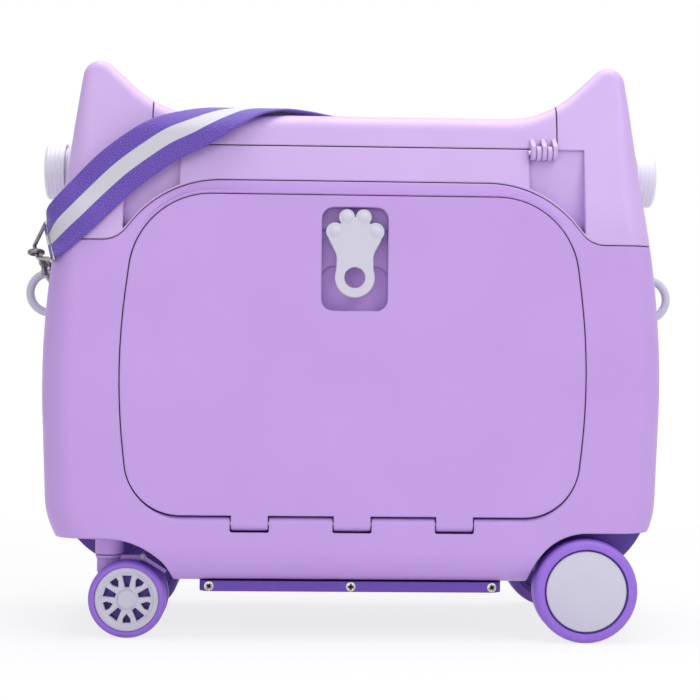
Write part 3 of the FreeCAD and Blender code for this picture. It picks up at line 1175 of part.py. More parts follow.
def strap():
    """Webbing as a ruled loft through its cross sections, with an end ring and a snap hook at each end."""
    half, thick = S.strap_width.value / 2, S.strap_thickness.value / 2
    lift = S.strap_lift.value
    route = strap_half(-1, (3.4, 7.4, 11.0, 13.2, 13.6))
    route.append((Vector(0, 0, S.seat_height.value + 2.2), Vector(0, 0, 1)))
    route += strap_half(1, (lift + 1.0, lift + 1.0, lift + 1.0, lift + 1.5, lift + 2.5))
    sections = []
    ends = {}
    for index, (point, facing) in enumerate(route):
        ahead = route[min(index + 1, len(route) - 1)][0]
        behind = route[max(index - 1, 0)][0]
        along = (ahead - behind).normalize()
        facing = (facing - along * facing.dot(along)).normalize()
        across = along.cross(facing).normalize()
        ends[index] = (point, along, across)
        corners = [point + across * (half * a) + facing * (thick * b)
                   for a, b in ((-1, -1), (1, -1), (1, 1), (-1, 1))]
        sections.append(Part.makePolygon(corners + corners[:1]))
    length = sum((b[0] - a[0]).Length for a, b in zip(route, route[1:]))
    print("strap centreline %.1f mm" % length)
    webbing = DOC.addObject("Part::Feature", "webbing")
    webbing.Shape = Part.makeLoft(sections, True, True)
    node("strap_webbing", webbing)

    point, along, across = ends[0]
    wire = S.buckle_wire.value
    bar = point - along * (wire + 0.4)
    loop_x = (S.loop_reach - S.loop_radius - S.loop_bar).value
    bar_top = Vector(-loop_x, 0, (S.loop_height + S.loop_radius).value)
    eye = bar + (bar_top - bar).normalize() * S.buckle_length.value
    eye.x = -loop_x - 2.5
    away = (eye - bar_top).normalize()
    rest = S.hook_bend - S.hook_wire - S.loop_bar - S.hook_play
    seat = bar_top + away * rest.value
    turn = Rotation(Vector(0, 0, 1), away)
    reach = half + wire
    corners = [bar + across * reach, bar - across * reach]
    wide = (across - away * across.dot(away)).normalize()
    shoulders = [eye + wide * 5 * way + (bar - eye).normalize() for way in (1, -1)]
    path = [corners[0], corners[1], shoulders[1], eye, shoulders[0]]
    eye_gap = (eye - seat).Length - 1.3
    crown = S.hook_length * 0.6
    nose_top = S.hook_bend * 0.6
    eye_radius = S.buckle_wire + S.hook_wire + 1.2
    gate_end = crown - S.hook_wire - 0.9
    for word, half_turn in (("left", Rotation()), ("right", Rotation(Vector(0, 0, 1), 180))):
        struts = [strut(a, b, S.buckle_wire) for a, b in zip(path, path[1:] + path[:1])]
        balls = [ball(p, S.buckle_wire) for p in path]
        node("strap_ring_%s" % word, put(fuse(*(struts + balls)), rotation=half_turn))
        hook = fuse(
            bent_wire(S.hook_wire.value, S.hook_bend.value, crown.value, nose_top.value),
            rod("Y", S.hook_wire + 0.3, -S.hook_bend - S.hook_wire - 1, S.hook_bend * 0.75, 0.0, crown + 1),
            rod("Z", S.hook_wire + 1.2, crown, S.hook_length * 0.78, 0.0, 0.0),
            rod("Z", S.hook_wire, S.hook_length * 0.7, eye_gap - eye_radius, 0.0, 0.0),
            ring("Y", eye_radius, S.hook_wire - 0.4, 0.0, 0.0, eye_gap),
        )
        spot = half_turn.multVec(seat)
        swing = half_turn.multiply(turn)
        node("strap_hook_%s" % word, put(hook, spot.x, spot.y, spot.z, swing))
        gate = fuse(rod("Z", S.gate_radius, nose_top + 0.6, gate_end, 0.0, S.hook_bend),
                    rod("X", S.gate_radius + 0.2, -S.hook_wire, S.hook_wire, S.hook_bend, gate_end))
        node("hook_gate_%s" % word, put(gate, spot.x, spot.y, spot.z, swing))
        print("gate %s pivot %s axis %s" % (
            word, swing.multVec(Vector(0, S.hook_bend.value, gate_end.value)) + spot,
            swing.multVec(Vector(1, 0, 0))))


lower_shell()
upper_frame()
upper_tray()
lid()
door()
latch()
end_fittings()
housings()
fixed_wheels()
casters()
strap()
DOC.recompute()

for obj in DOC.Objects:
    if "Invalid" in obj.State or "Error" in obj.State:
        raise RuntimeError("%s (%s) failed: %s" % (obj.Label, obj.Name, obj.State))
for name, obj in NODES.items():
    if obj.Shape.isNull() or not obj.Shape.isValid() or not obj.Shape.Solids:
        raise RuntimeError("%s has no valid solid" % name)
os.makedirs("parts", exist_ok=True)
for name, obj in NODES.items():
    obj.Shape.exportStep("parts/%s.step" % name)
print("%d pieces, %d solids" % (len(NODES), sum(len(o.Shape.Solids) for o in NODES.values())))
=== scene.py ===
"""Ride-on suitcase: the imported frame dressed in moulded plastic, woven webbing and plated metal."""

import logging
import math
from dataclasses import dataclass
from enum import Enum
from typing import Any

import bmesh
import bpy
import numpy as np
from bpy.types import Material, Mesh, NodeSocket, NodeTree, Object
from mathutils import Matrix, Vector
from mathutils.bvhtree import BVHTree
from mathutils.geometry import delaunay_2d_cdt


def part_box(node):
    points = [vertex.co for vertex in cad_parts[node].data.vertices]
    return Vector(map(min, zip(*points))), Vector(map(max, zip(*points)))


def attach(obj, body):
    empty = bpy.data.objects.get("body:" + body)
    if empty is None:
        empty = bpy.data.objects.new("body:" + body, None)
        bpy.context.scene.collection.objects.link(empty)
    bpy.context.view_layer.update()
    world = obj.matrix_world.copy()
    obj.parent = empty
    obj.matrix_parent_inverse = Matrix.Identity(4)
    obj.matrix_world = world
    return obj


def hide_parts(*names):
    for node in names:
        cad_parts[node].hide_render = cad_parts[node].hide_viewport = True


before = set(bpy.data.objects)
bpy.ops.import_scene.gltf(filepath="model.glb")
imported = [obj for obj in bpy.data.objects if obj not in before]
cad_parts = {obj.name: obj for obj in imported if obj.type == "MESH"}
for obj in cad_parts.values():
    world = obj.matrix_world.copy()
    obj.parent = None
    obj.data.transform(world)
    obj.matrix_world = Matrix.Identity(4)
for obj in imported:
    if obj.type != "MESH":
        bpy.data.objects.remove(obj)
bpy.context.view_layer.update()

LOG = logging.getLogger("ride_on_suitcase")
MM = 0.001
FRAME_PIXELS = 700
SENSOR_MM = 36.0
# span that holds most values of a noise pattern
NOISE_SPAN = (0.3, 0.7)
# length of one band of the wave pattern at scale 1
WAVE_PERIOD = 0.314
SCREW_SHARP = math.radians(35)


class Slot(Enum):
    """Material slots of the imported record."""

    LINER = "liner_lilac"
    UNDERSIDE = "dark_purple"
    STEEL = "bright_steel"
    WEBBING = "strap_webbing"


class Way(Enum):
    """Directions that a row of moulded beads can run in, as a turn of a cylinder that stands on Z."""

    ALONG_X = (0.0, math.pi / 2, 0.0)
    UPRIGHT = (0.0, 0.0, 0.0)


def linear(code: str) -> tuple[float, float, float, float]:
    """Turns an sRGB hex code into a linear colour.

    Args:
        code: Six hex digits with a leading #.

    Returns:
        Red, green, blue and alpha, linear.
    """
    values = [int(code[i:i + 2], 16) / 255 for i in (1, 3, 5)]
    parts = [v / 12.92 if v <= 0.04045 else ((v + 0.055) / 1.055) ** 2.4 for v in values]
    return (parts[0], parts[1], parts[2], 1.0)


def per_mm(size: float) -> float:
    """Texture scale at which one cell of a pattern on metre coordinates is size millimetres wide."""
    return 1.0 / (size * MM)


def add(tree: NodeTree, kind: str, links: dict[Any, Any] | None = None, **settings: Any) -> Any:
    """Adds a node, sets its properties, and fills or links its inputs.

    Args:
        tree: Node tree that gets the node.
        kind: Blender's name of the node type.
        links: Input name or number to a value, or to an output socket.
        settings: Properties of the node.

    Returns:
        The new node.
    """
    node = tree.nodes.new(kind)
    for key, value in settings.items():
        setattr(node, key, value)
    for key, value in (links or {}).items():
        if isinstance(value, NodeSocket):
            tree.links.new(value, node.inputs[key])
        else:
            node.inputs[key].default_value = value
    return node


def noise(tree: NodeTree, place: Any, size: float, detail: float, rough: float = 0.5) -> Any:
    """Adds a noise pattern with cells of size millimetres and gives the socket of its value."""
    return add(tree, "ShaderNodeTexNoise", {
        "Vector": place, "Scale": per_mm(size), "Detail": detail, "Roughness": rough}).outputs["Fac"]


def ramp(tree: NodeTree, value: Any, span: tuple, result: tuple = (0.0, 1.0)) -> Any:
    """Adds a clamped ramp that takes span to result and gives its socket."""
    return add(tree, "ShaderNodeMapRange", {
        "Value": value, "From Min": span[0], "From Max": span[1],
        "To Min": result[0], "To Max": result[1]}).outputs["Result"]


def mix(tree: NodeTree, share: Any, first: Any, second: Any, **settings: Any) -> Any:
    """Adds a mix of two colours and gives its socket."""
    return add(tree, "ShaderNodeMix", {0: share, 6: first, 7: second},
               data_type="RGBA", **settings).outputs[2]


def calc(tree: NodeTree, operation: str, *values: Any) -> Any:
    """Adds a maths node on these values and gives its socket."""
    return add(tree, "ShaderNodeMath", dict(enumerate(values)), operation=operation).outputs[0]


def relief(tree: NodeTree, height: Any, depth: float, strength: float, normal: Any = None) -> Any:
    """Adds a bump.

    Args:
        tree: Node tree that gets the node.
        height: Socket of the height pattern.
        depth: Depth of the relief in millimetres.
        strength: Share of it that shows.
        normal: Socket of the normal that it works on, if not the surface's own.

    Returns:
        The socket of the new normal.
    """
    links = {"Height": height, "Distance": depth * MM, "Strength": strength}
    if normal is not None:
        links["Normal"] = normal
    return add(tree, "ShaderNodeBump", links).outputs["Normal"]


def surface(tree: NodeTree, values: dict[str, Any]) -> None:
    """Ends a material with a principled shader that has these inputs."""
    shader = add(tree, "ShaderNodeBsdfPrincipled", values)
    add(tree, "ShaderNodeOutputMaterial", {"Surface": shader.outputs["BSDF"]})


def new_material(name: str) -> tuple[Material, NodeTree]:
    """Makes an empty node material.

    Args:
        name: Name of the finish.

    Returns:
        The material and its node tree.
    """
    material = bpy.data.materials.new(name)
    material.use_nodes = True
    material.node_tree.nodes.clear()
    return material, material.node_tree


@dataclass(frozen=True)
class MouldedPlastic:
    """Injection-moulded ABS or polypropylene with a fine spark-eroded grain."""

    name: str
    colour: str
    shade: str
    # dark tone of the painted shade in gaps and recesses
    painted_deep_shade: str
    roughness: float
    grain_mm: float = 1.5
    relief_mm: float = 0.02
    edge_mm: float = 1.0
    ring_mm: float = 0.0
    ring_relief_mm: float = 0.25
    cloud_mm: float = 80.0
    patch_mm: float = 30.0
    # reach of the painted shade's occlusion test and the span over which it fades in
    painted_shade_reach_mm: float = 6.0
    painted_shade_span: tuple[float, float] = (0.1, 0.5)
    gloss_spread: tuple[float, float] = (-0.06, 0.08)

    def material(self) -> Material:
        """Builds the material: cloudy tone, painted shade in seams and recesses, grain, uneven gloss and
        softly rounded edges.
        """
        material, tree = new_material(self.name)
        place = add(tree, "ShaderNodeTexCoord").outputs["Object"]
        # flow of the melt leaves wide tone clouds, weaker than the eye names but not flat
        cloud = noise(tree, place, self.cloud_mm, 3.0)
        tone = mix(tree, cloud, linear(self.shade), linear(self.colour))
        # painted shade: where ambient occlusion finds narrow gaps, seams and recesses, the colour goes over
        # to a dark tone of the same dye that stands in for the shade falling there
        shade_occlusion = add(tree, "ShaderNodeAmbientOcclusion", {"Distance": self.painted_shade_reach_mm * MM}, samples=6)
        tone = mix(tree, ramp(tree, shade_occlusion.outputs["AO"], self.painted_shade_span), linear(self.painted_deep_shade), tone)
        # handling polishes some areas and dulls others
        patch = noise(tree, place, self.patch_mm, 4.0)
        gloss = ramp(tree, patch, NOISE_SPAN, tuple(self.roughness + part for part in self.gloss_spread))
        # real grain is about 0.2 mm, drawn coarser so that it shows
        grain = noise(tree, place, self.grain_mm, 2.0)
        edge = add(tree, "ShaderNodeBevel", {"Radius": self.edge_mm * MM}, samples=4)
        normal = relief(tree, grain, self.relief_mm, 0.5, edge.outputs["Normal"])
        if self.ring_mm:
            # turned grip rings round the X axis
            rings = add(tree, "ShaderNodeTexWave", {
                "Vector": place, "Scale": WAVE_PERIOD * per_mm(self.ring_mm)},
                wave_type="BANDS", bands_direction="X", wave_profile="SIN")
            normal = relief(tree, rings.outputs["Fac"], self.ring_relief_mm, 0.6, normal)
        surface(tree, {"Base Color": tone, "Roughness": gloss, "IOR": 1.5, "Normal": normal})
        return material


@dataclass(frozen=True)
class TyreRubber:
    """Moulded polyurethane tyre, dull, with a scuffed skin."""

    name: str
    colour: str
    scuff: str
    scuff_mm: float = 7.0
    scuff_span: tuple[float, float] = (0.52, 0.78)
    scuff_most: float = 0.55
    gloss_range: tuple[float, float] = (0.46, 0.7)
    pebble_mm: float = 0.9
    relief_mm: float = 0.03
    edge_mm: float = 0.6

    def material(self) -> Material:
        """Builds the material: scuffs some millimetres wide over an even colour, and a pebbled skin."""
        material, tree = new_material(self.name)
        place = add(tree, "ShaderNodeTexCoord").outputs["Object"]
        rub = noise(tree, place, self.scuff_mm, 6.0, 0.7)
        worn = ramp(tree, rub, self.scuff_span, (0.0, self.scuff_most))
        tone = mix(tree, worn, linear(self.colour), linear(self.scuff))
        dull = ramp(tree, worn, (0.0, 1.0), self.gloss_range)
        pebble = add(tree, "ShaderNodeTexVoronoi", {"Vector": place, "Scale": per_mm(self.pebble_mm)})
        edge = add(tree, "ShaderNodeBevel", {"Radius": self.edge_mm * MM}, samples=4)
        normal = relief(tree, pebble.outputs["Distance"], self.relief_mm, 0.5, edge.outputs["Normal"])
        surface(tree, {"Base Color": tone, "Roughness": dull, "IOR": 1.52, "Normal": normal})
        return material


@dataclass(frozen=True)
class PlatedSteel:
    """Steel wire or bar with a nickel or zinc plating, drawn lengthwise."""

    name: str
    colour: str
    tarnish: str
    roughness: float
    # colour of the painted shade in screw recesses
    painted_recess_shade: str = "#2A2026"
    line_mm: float = 0.5
    line_stretch: tuple[float, float, float] = (1.0, 1.0, 0.15)
    speck_mm: float = 4.0
    speck_span: tuple[float, float] = (0.5, 0.75)
    gloss_spread: tuple[float, float] = (-0.08, 0.1)
    relief_mm: float = 0.01

    def material(self) -> Material:
        """Builds the material: fine scratches in the gloss, darker specks where the plating thins, and
        painted shade in screw recesses.
        """
        material, tree = new_material(self.name)
        place = add(tree, "ShaderNodeTexCoord").outputs["Object"]
        drawn = add(tree, "ShaderNodeMapping", {"Vector": place, "Scale": self.line_stretch})
        scratch = noise(tree, drawn.outputs["Vector"], self.line_mm, 3.0)
        specks = noise(tree, place, self.speck_mm, 5.0)
        tone = mix(tree, ramp(tree, specks, self.speck_span), linear(self.colour), linear(self.tarnish))
        # painted shade: the screw recesses, marked by the mesh's own attribute, go over to a near-black
        # colour that stands in for the shade inside them
        painted_recess_shade = add(tree, "ShaderNodeAttribute", attribute_name="recess")
        tone = mix(tree, painted_recess_shade.outputs["Fac"], tone, linear(self.painted_recess_shade))
        gloss = ramp(tree, scratch, NOISE_SPAN, tuple(self.roughness + part for part in self.gloss_spread))
        normal = relief(tree, scratch, self.relief_mm, 0.4)
        surface(tree, {"Base Color": tone, "Roughness": gloss, "Metallic": 1.0, "Normal": normal})
        return material


@dataclass(frozen=True)
class WovenWebbing:
    """Flat polypropylene webbing: warp yarns lie along it, a white band is woven into the middle."""

    name: str
    yarn: str
    fleck: str
    band: str
    width_mm: float = 38.0
    band_share: float = 0.3
    pick_mm: float = 1.7
    end_mm: float = 1.5
    fleck_mm: float = 1.0
    weave_share: float = 0.3
    step_mm: float = 0.22
    relief_mm: float = 0.25

    def material(self) -> Material:
        """Builds the material on the piece's own UV map, which is in metres across and along."""
        material, tree = new_material(self.name)
        spot = add(tree, "ShaderNodeUVMap", uv_map="weave").outputs["UV"]
        parts = add(tree, "ShaderNodeSeparateXYZ", {"Vector": spot})
        across, along = parts.outputs["X"], parts.outputs["Y"]
        # yarns are some 0.8 mm wide in the cloth, drawn at twice that so that the rows show
        waves = []
        for value, pitch in ((across, self.end_mm), (along, self.pick_mm)):
            waves.append(calc(tree, "SINE", calc(tree, "MULTIPLY", value, 2 * math.pi * per_mm(pitch))))
        weave = calc(tree, "MULTIPLY", *waves)
        # light filaments show through the dyed ones and give the cloth its salt-and-pepper look
        mixed = calc(tree, "MULTIPLY_ADD", weave, self.weave_share, noise(tree, spot, self.fleck_mm, 2.0))
        light = ramp(tree, mixed, (0.36, 0.86), (0.0, 0.75))
        cloth = mix(tree, light, linear(self.yarn), linear(self.fleck))
        shade = ramp(tree, mixed, (0.2, 0.8), (0.86, 1.0))
        white = mix(tree, 1.0, linear(self.band), shade, blend_type="MULTIPLY")
        # the edge of the band steps from yarn to yarn
        step = calc(tree, "MULTIPLY_ADD", waves[1], self.step_mm * MM, across)
        distance = calc(tree, "ABSOLUTE", calc(tree, "SUBTRACT", step, self.width_mm / 2 * MM))
        inside = calc(tree, "LESS_THAN", distance, self.width_mm * self.band_share / 2 * MM)
        surface(tree, {
            "Base Color": mix(tree, inside, cloth, white), "Roughness": 0.72, "Sheen Weight": 0.25,
            "Sheen Roughness": 0.5, "Normal": relief(tree, mixed, self.relief_mm, 0.7)})
        return material


@dataclass(frozen=True)
class Thread:
    """Bonded polyester sewing thread."""

    name: str
    colour: str
    dark: str
    twist_mm: float = 0.6

    def material(self) -> Material:
        """Builds the material: a two-tone twist with a faint sheen."""
        material, tree = new_material(self.name)
        place = add(tree, "ShaderNodeTexCoord").outputs["Object"]
        twist = noise(tree, place, self.twist_mm, 1.0)
        tone = mix(tree, twist, linear(self.dark), linear(self.colour))
        surface(tree, {"Base Color": tone, "Roughness": 0.55, "Sheen Weight": 0.2})
        return material


# the fourth colour of each plastic is the dark tone of its painted shade in gaps and recesses
CASE_ABS = MouldedPlastic("case_abs_satin", "#C6A1E4", "#BE99DD", "#4C2386", 0.42, edge_mm=2.0)
# painted light: a lighter copy of the case's lilac for the top frame and the lid, standing in for the
# stronger light that falls on the top
PAINTED_LIGHT_UPPER_ABS = MouldedPlastic("upper_case_abs_satin_painted_light", "#CFB2E7", "#C8AAE1", "#4C2386", 0.42, edge_mm=2.0)
LINER_PP = MouldedPlastic("liner_polypropylene_matt", "#B792DA", "#AC87D1", "#4A2380", 0.6, grain_mm=2.2,
                          relief_mm=0.04)
UNDERSIDE_PP = MouldedPlastic("underside_polypropylene", "#6B47B0", "#603CA5", "#2A1160", 0.5)
LEVER_PA = MouldedPlastic("brake_lever_nylon", "#A887D2", "#9C7AC8", "#4A2380", 0.48)
WHITE_ABS = MouldedPlastic("fittings_abs_white", "#D2D0DE", "#CAC7D8", "#7F76A6", 0.36, edge_mm=1.6)
# painted light: the knobs take a lighter copy of the fittings' white, standing in for brighter light
# falling on them
PAINTED_LIGHT_KNOB_ABS = MouldedPlastic("knob_abs_turned_painted_light", "#EBE9F3", "#E4E1EE", "#8F88B4", 0.36, ring_mm=3.4)
TYRE_PU = TyreRubber("tyre_polyurethane", "#966BD8", "#A684DD")
ZINC_STEEL = PlatedSteel("zinc_plated_steel", "#D6D3CC", "#A8A29A", 0.3)
DARK_NICKEL = PlatedSteel("black_nickel_wire", "#8B878B", "#56525A", 0.28)
WEBBING = WovenWebbing("woven_polypropylene_webbing", "#4F2D9E", "#937AD4", "#D6D4DD")
THREAD = Thread("polyester_thread_violet", "#8A68D2", "#5A37A6")


def linked(name: str, data: Any) -> Object:
    """Makes an object from its data and links it to the scene."""
    item = bpy.data.objects.new(name, data)
    bpy.context.scene.collection.objects.link(item)
    return item


def geometry_tree(name: str, sizes: dict[str, str]) -> tuple[NodeTree, Any, Any]:
    """Starts a Geometry Nodes tree with named inputs.

    Args:
        name: Name of the tree.
        sizes: Input name to socket type, beside the geometry itself.

    Returns:
        The tree, its group input node and its group output node.
    """
    tree = bpy.data.node_groups.new(name, "GeometryNodeTree")
    tree.interface.new_socket("Geometry", in_out="INPUT", socket_type="NodeSocketGeometry")
    for size, kind in sizes.items():
        tree.interface.new_socket(size, in_out="INPUT", socket_type=kind)
    tree.interface.new_socket("Geometry", in_out="OUTPUT", socket_type="NodeSocketGeometry")
    return tree, tree.nodes.new("NodeGroupInput"), tree.nodes.new("NodeGroupOutput")


def end_tree(tree: NodeTree, points: Any, form: Any, turn: Any, finish: Any, end: Any) -> None:
    """Ends a tree: a form on each point is made real, gets its material and goes to the output.

    Args:
        tree: Tree to end.
        points: Socket that gives the points.
        form: Socket that gives the form.
        turn: Socket that gives its rotation.
        finish: Socket that gives the material.
        end: Group output node.
    """
    row = add(tree, "GeometryNodeInstanceOnPoints", {"Points": points, "Instance": form, "Rotation": turn})
    real = add(tree, "GeometryNodeRealizeInstances", {"Geometry": row.outputs["Instances"]})
    dressed = add(tree, "GeometryNodeSetMaterial", {
        "Geometry": real.outputs["Geometry"], "Material": finish})
    tree.links.new(dressed.outputs["Geometry"], end.inputs["Geometry"])


def grow(name: str, base: Mesh, tree: NodeTree,
         values: dict[str, Any]) -> Object:
    """Runs a Geometry Nodes tree on a mesh and keeps the result as a plain mesh object.

    Args:
        name: Name of the new piece.
        base: Mesh that the tree starts from.
        tree: The tree.
        values: Input name to value.

    Returns:
        The new object, with no modifier.
    """
    carrier = linked(name + "_seed", base)
    modifier = carrier.modifiers.new("grow", "NODES")
    modifier.node_group = tree
    for item in tree.interface.items_tree:
        if item.in_out == "INPUT" and item.name in values:
            modifier[item.identifier] = values[item.name]
    graph = bpy.context.evaluated_depsgraph_get()
    mesh = bpy.data.meshes.new_from_object(carrier.evaluated_get(graph))
    mesh.name = name
    bpy.data.objects.remove(carrier)
    piece = linked(name, mesh)
    mesh.shade_smooth()
    return piece


def stitch_tree() -> NodeTree:
    """Makes the tree that sews stitches along a line of edges."""
    tree, start, end = geometry_tree("sewn_stitches", {
        "Pitch": "NodeSocketFloat", "Length": "NodeSocketFloat", "Radius": "NodeSocketFloat",
        "Thread": "NodeSocketMaterial"})
    line = add(tree, "GeometryNodeMeshToCurve", {"Mesh": start.outputs["Geometry"]})
    points = add(tree, "GeometryNodeCurveToPoints", {
        "Curve": line.outputs["Curve"], "Length": start.outputs["Pitch"]}, mode="LENGTH")
    bead = add(tree, "GeometryNodeMeshUVSphere", {"Segments": 8, "Rings": 5, "Radius": 1.0})
    half = calc(tree, "MULTIPLY", start.outputs["Length"], 0.5)
    form = add(tree, "ShaderNodeCombineXYZ", {
        "X": start.outputs["Radius"], "Y": start.outputs["Radius"], "Z": half})
    stitch = add(tree, "GeometryNodeTransform", {
        "Geometry": bead.outputs["Mesh"], "Scale": form.outputs["Vector"]})
    end_tree(tree, points.outputs["Points"], stitch.outputs["Geometry"], points.outputs["Rotation"],
             start.outputs["Thread"], end)
    return tree


def screw_tree() -> NodeTree:
    """Makes the tree that sets a screw on every point of a mesh, turned by the point's attribute."""
    tree, start, end = geometry_tree("set_screws", {
        "Screw": "NodeSocketObject", "Metal": "NodeSocketMaterial"})
    screw = add(tree, "GeometryNodeObjectInfo", {"Object": start.outputs["Screw"], "As Instance": True})
    turn = add(tree, "GeometryNodeInputNamedAttribute", {"Name": "turn"}, data_type="FLOAT_VECTOR")
    end_tree(tree, start.outputs["Geometry"], screw.outputs["Geometry"], turn.outputs["Attribute"],
             start.outputs["Metal"], end)
    return tree


def bead_tree() -> NodeTree:
    """Makes the tree that lays a row of half-sunk moulded beads."""
    tree, start, end = geometry_tree("moulded_beads", {
        "Count": "NodeSocketInt", "First": "NodeSocketVector", "Step": "NodeSocketVector",
        "Turn": "NodeSocketVector", "Length": "NodeSocketFloat", "Radius": "NodeSocketFloat",
        "Finish": "NodeSocketMaterial"})
    line = add(tree, "GeometryNodeMeshLine", {
        "Count": start.outputs["Count"], "Start Location": start.outputs["First"],
        "Offset": start.outputs["Step"]}, mode="OFFSET")
    core = add(tree, "GeometryNodeMeshCylinder", {
        "Vertices": 20, "Radius": start.outputs["Radius"], "Depth": start.outputs["Length"]})
    cap = add(tree, "GeometryNodeMeshUVSphere", {
        "Segments": 20, "Rings": 10, "Radius": start.outputs["Radius"]})
    half = calc(tree, "MULTIPLY", start.outputs["Length"], 0.5)
    parts = [core.outputs["Mesh"]]
    for way in (1.0, -1.0):
        spot = add(tree, "ShaderNodeCombineXYZ", {"Z": calc(tree, "MULTIPLY", half, way)})
        moved = add(tree, "GeometryNodeTransform", {
            "Geometry": cap.outputs["Mesh"], "Translation": spot.outputs["Vector"]})
        parts.append(moved.outputs["Geometry"])
    bead = add(tree, "GeometryNodeJoinGeometry")
    for part in parts:
        tree.links.new(part, bead.inputs["Geometry"])
    end_tree(tree, line.outputs["Mesh"], bead.outputs["Geometry"], start.outputs["Turn"],
             start.outputs["Finish"], end)
    return tree


def mesh_object(name: str, points: list, faces: list, finish: Material) -> Object:
    """Makes a smooth mesh object from points and faces.

    Args:
        name: Name of the piece.
        points: Vertices in metres.
        faces: Vertex numbers of each face.
        finish: Material of the piece.

    Returns:
        The object, linked to the scene.
    """
    mesh = bpy.data.meshes.new(name)
    mesh.from_pydata([tuple(p) for p in points], [], faces)
    mesh.shade_smooth()
    mesh.materials.append(finish)
    piece = linked(name, mesh)
    return piece


def outward(mesh: Mesh, sharp: float = 60.0) -> None:
    """Turns all faces of a closed mesh outwards and keeps its sharp edges.

    Args:
        mesh: The mesh.
        sharp: Angle in degrees from which an edge stays sharp.
    """
    form = bmesh.new()
    form.from_mesh(mesh)
    bmesh.ops.recalc_face_normals(form, faces=form.faces)
    form.to_mesh(mesh)
    form.free()
    mesh.set_sharp_from_angle(angle=math.radians(sharp))


def dress(finish: Material, *nodes: str) -> None:
    """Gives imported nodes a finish.

    Args:
        finish: The material.
        nodes: Names of the nodes.
    """
    for name in nodes:
        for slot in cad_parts[name].material_slots:
            slot.material = finish
        LOG.info("dressed %s in %s", name, finish.name)


def keep(piece: Object, body: str) -> Object:
    """Hangs a finished piece on its body.

    Args:
        piece: The piece.
        body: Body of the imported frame.

    Returns:
        The same piece.
    """
    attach(piece, body)
    LOG.info("made %s on %s with %d faces", piece.name, body, len(piece.data.polygons))
    return piece


@dataclass
class Finishes:
    """All materials of the part, built once."""

    case: Material
    # lighter copy of the case finish: painted light on the top frame and lid
    upper: Material
    liner: Material
    underside: Material
    lever: Material
    white: Material
    # lighter copy of the fittings' white: painted light on the knobs
    knob: Material
    tyre: Material
    steel: Material
    nickel: Material
    webbing: Material
    thread: Material

    @classmethod
    def build(cls) -> "Finishes":
        """Builds every material."""
        return cls(CASE_ABS.material(), PAINTED_LIGHT_UPPER_ABS.material(), LINER_PP.material(), UNDERSIDE_PP.material(),
                   LEVER_PA.material(), WHITE_ABS.material(), PAINTED_LIGHT_KNOB_ABS.material(), TYRE_PU.material(),
                   ZINC_STEEL.material(), DARK_NICKEL.material(), WEBBING.material(), THREAD.material())


@dataclass(frozen=True)
class BeadRow:
    """Row of equal stiffening beads, sunk by half, with its sizes in millimetres."""

    count: int
    first: tuple[float, float, float]
    step: tuple[float, float, float]
    way: Way
    length: float
    radius: float

    def lay(self, name: str, body: str, finish: Material) -> None:
        """Lays the beads as one piece.

        Args:
            name: Name of the piece.
            body: Body that carries it.
            finish: Material of the beads.
        """
        piece = grow(name, bpy.data.meshes.new(name + "_seed"), bead_tree(), {
            "Count": self.count, "First": tuple(v * MM for v in self.first),
            "Step": tuple(v * MM for v in self.step), "Turn": self.way.value,
            "Length": self.length * MM, "Radius": self.radius * MM, "Finish": finish})
        keep(piece, body)


TRAY_BEADS = BeadRow(7, (0.0, -48.0, 330.5), (0.0, 16.0, 0.0), Way.ALONG_X, 236.0, 1.1)
DOOR_BEADS = BeadRow(11, (-140.0, -80.1, 200.0), (28.0, 0.0, 0.0), Way.UPRIGHT, 160.0, 1.2)
LID_BEADS = BeadRow(7, (0.0, -54.0, 376.1), (0.0, 18.0, 0.0), Way.ALONG_X, 250.0, 1.0)


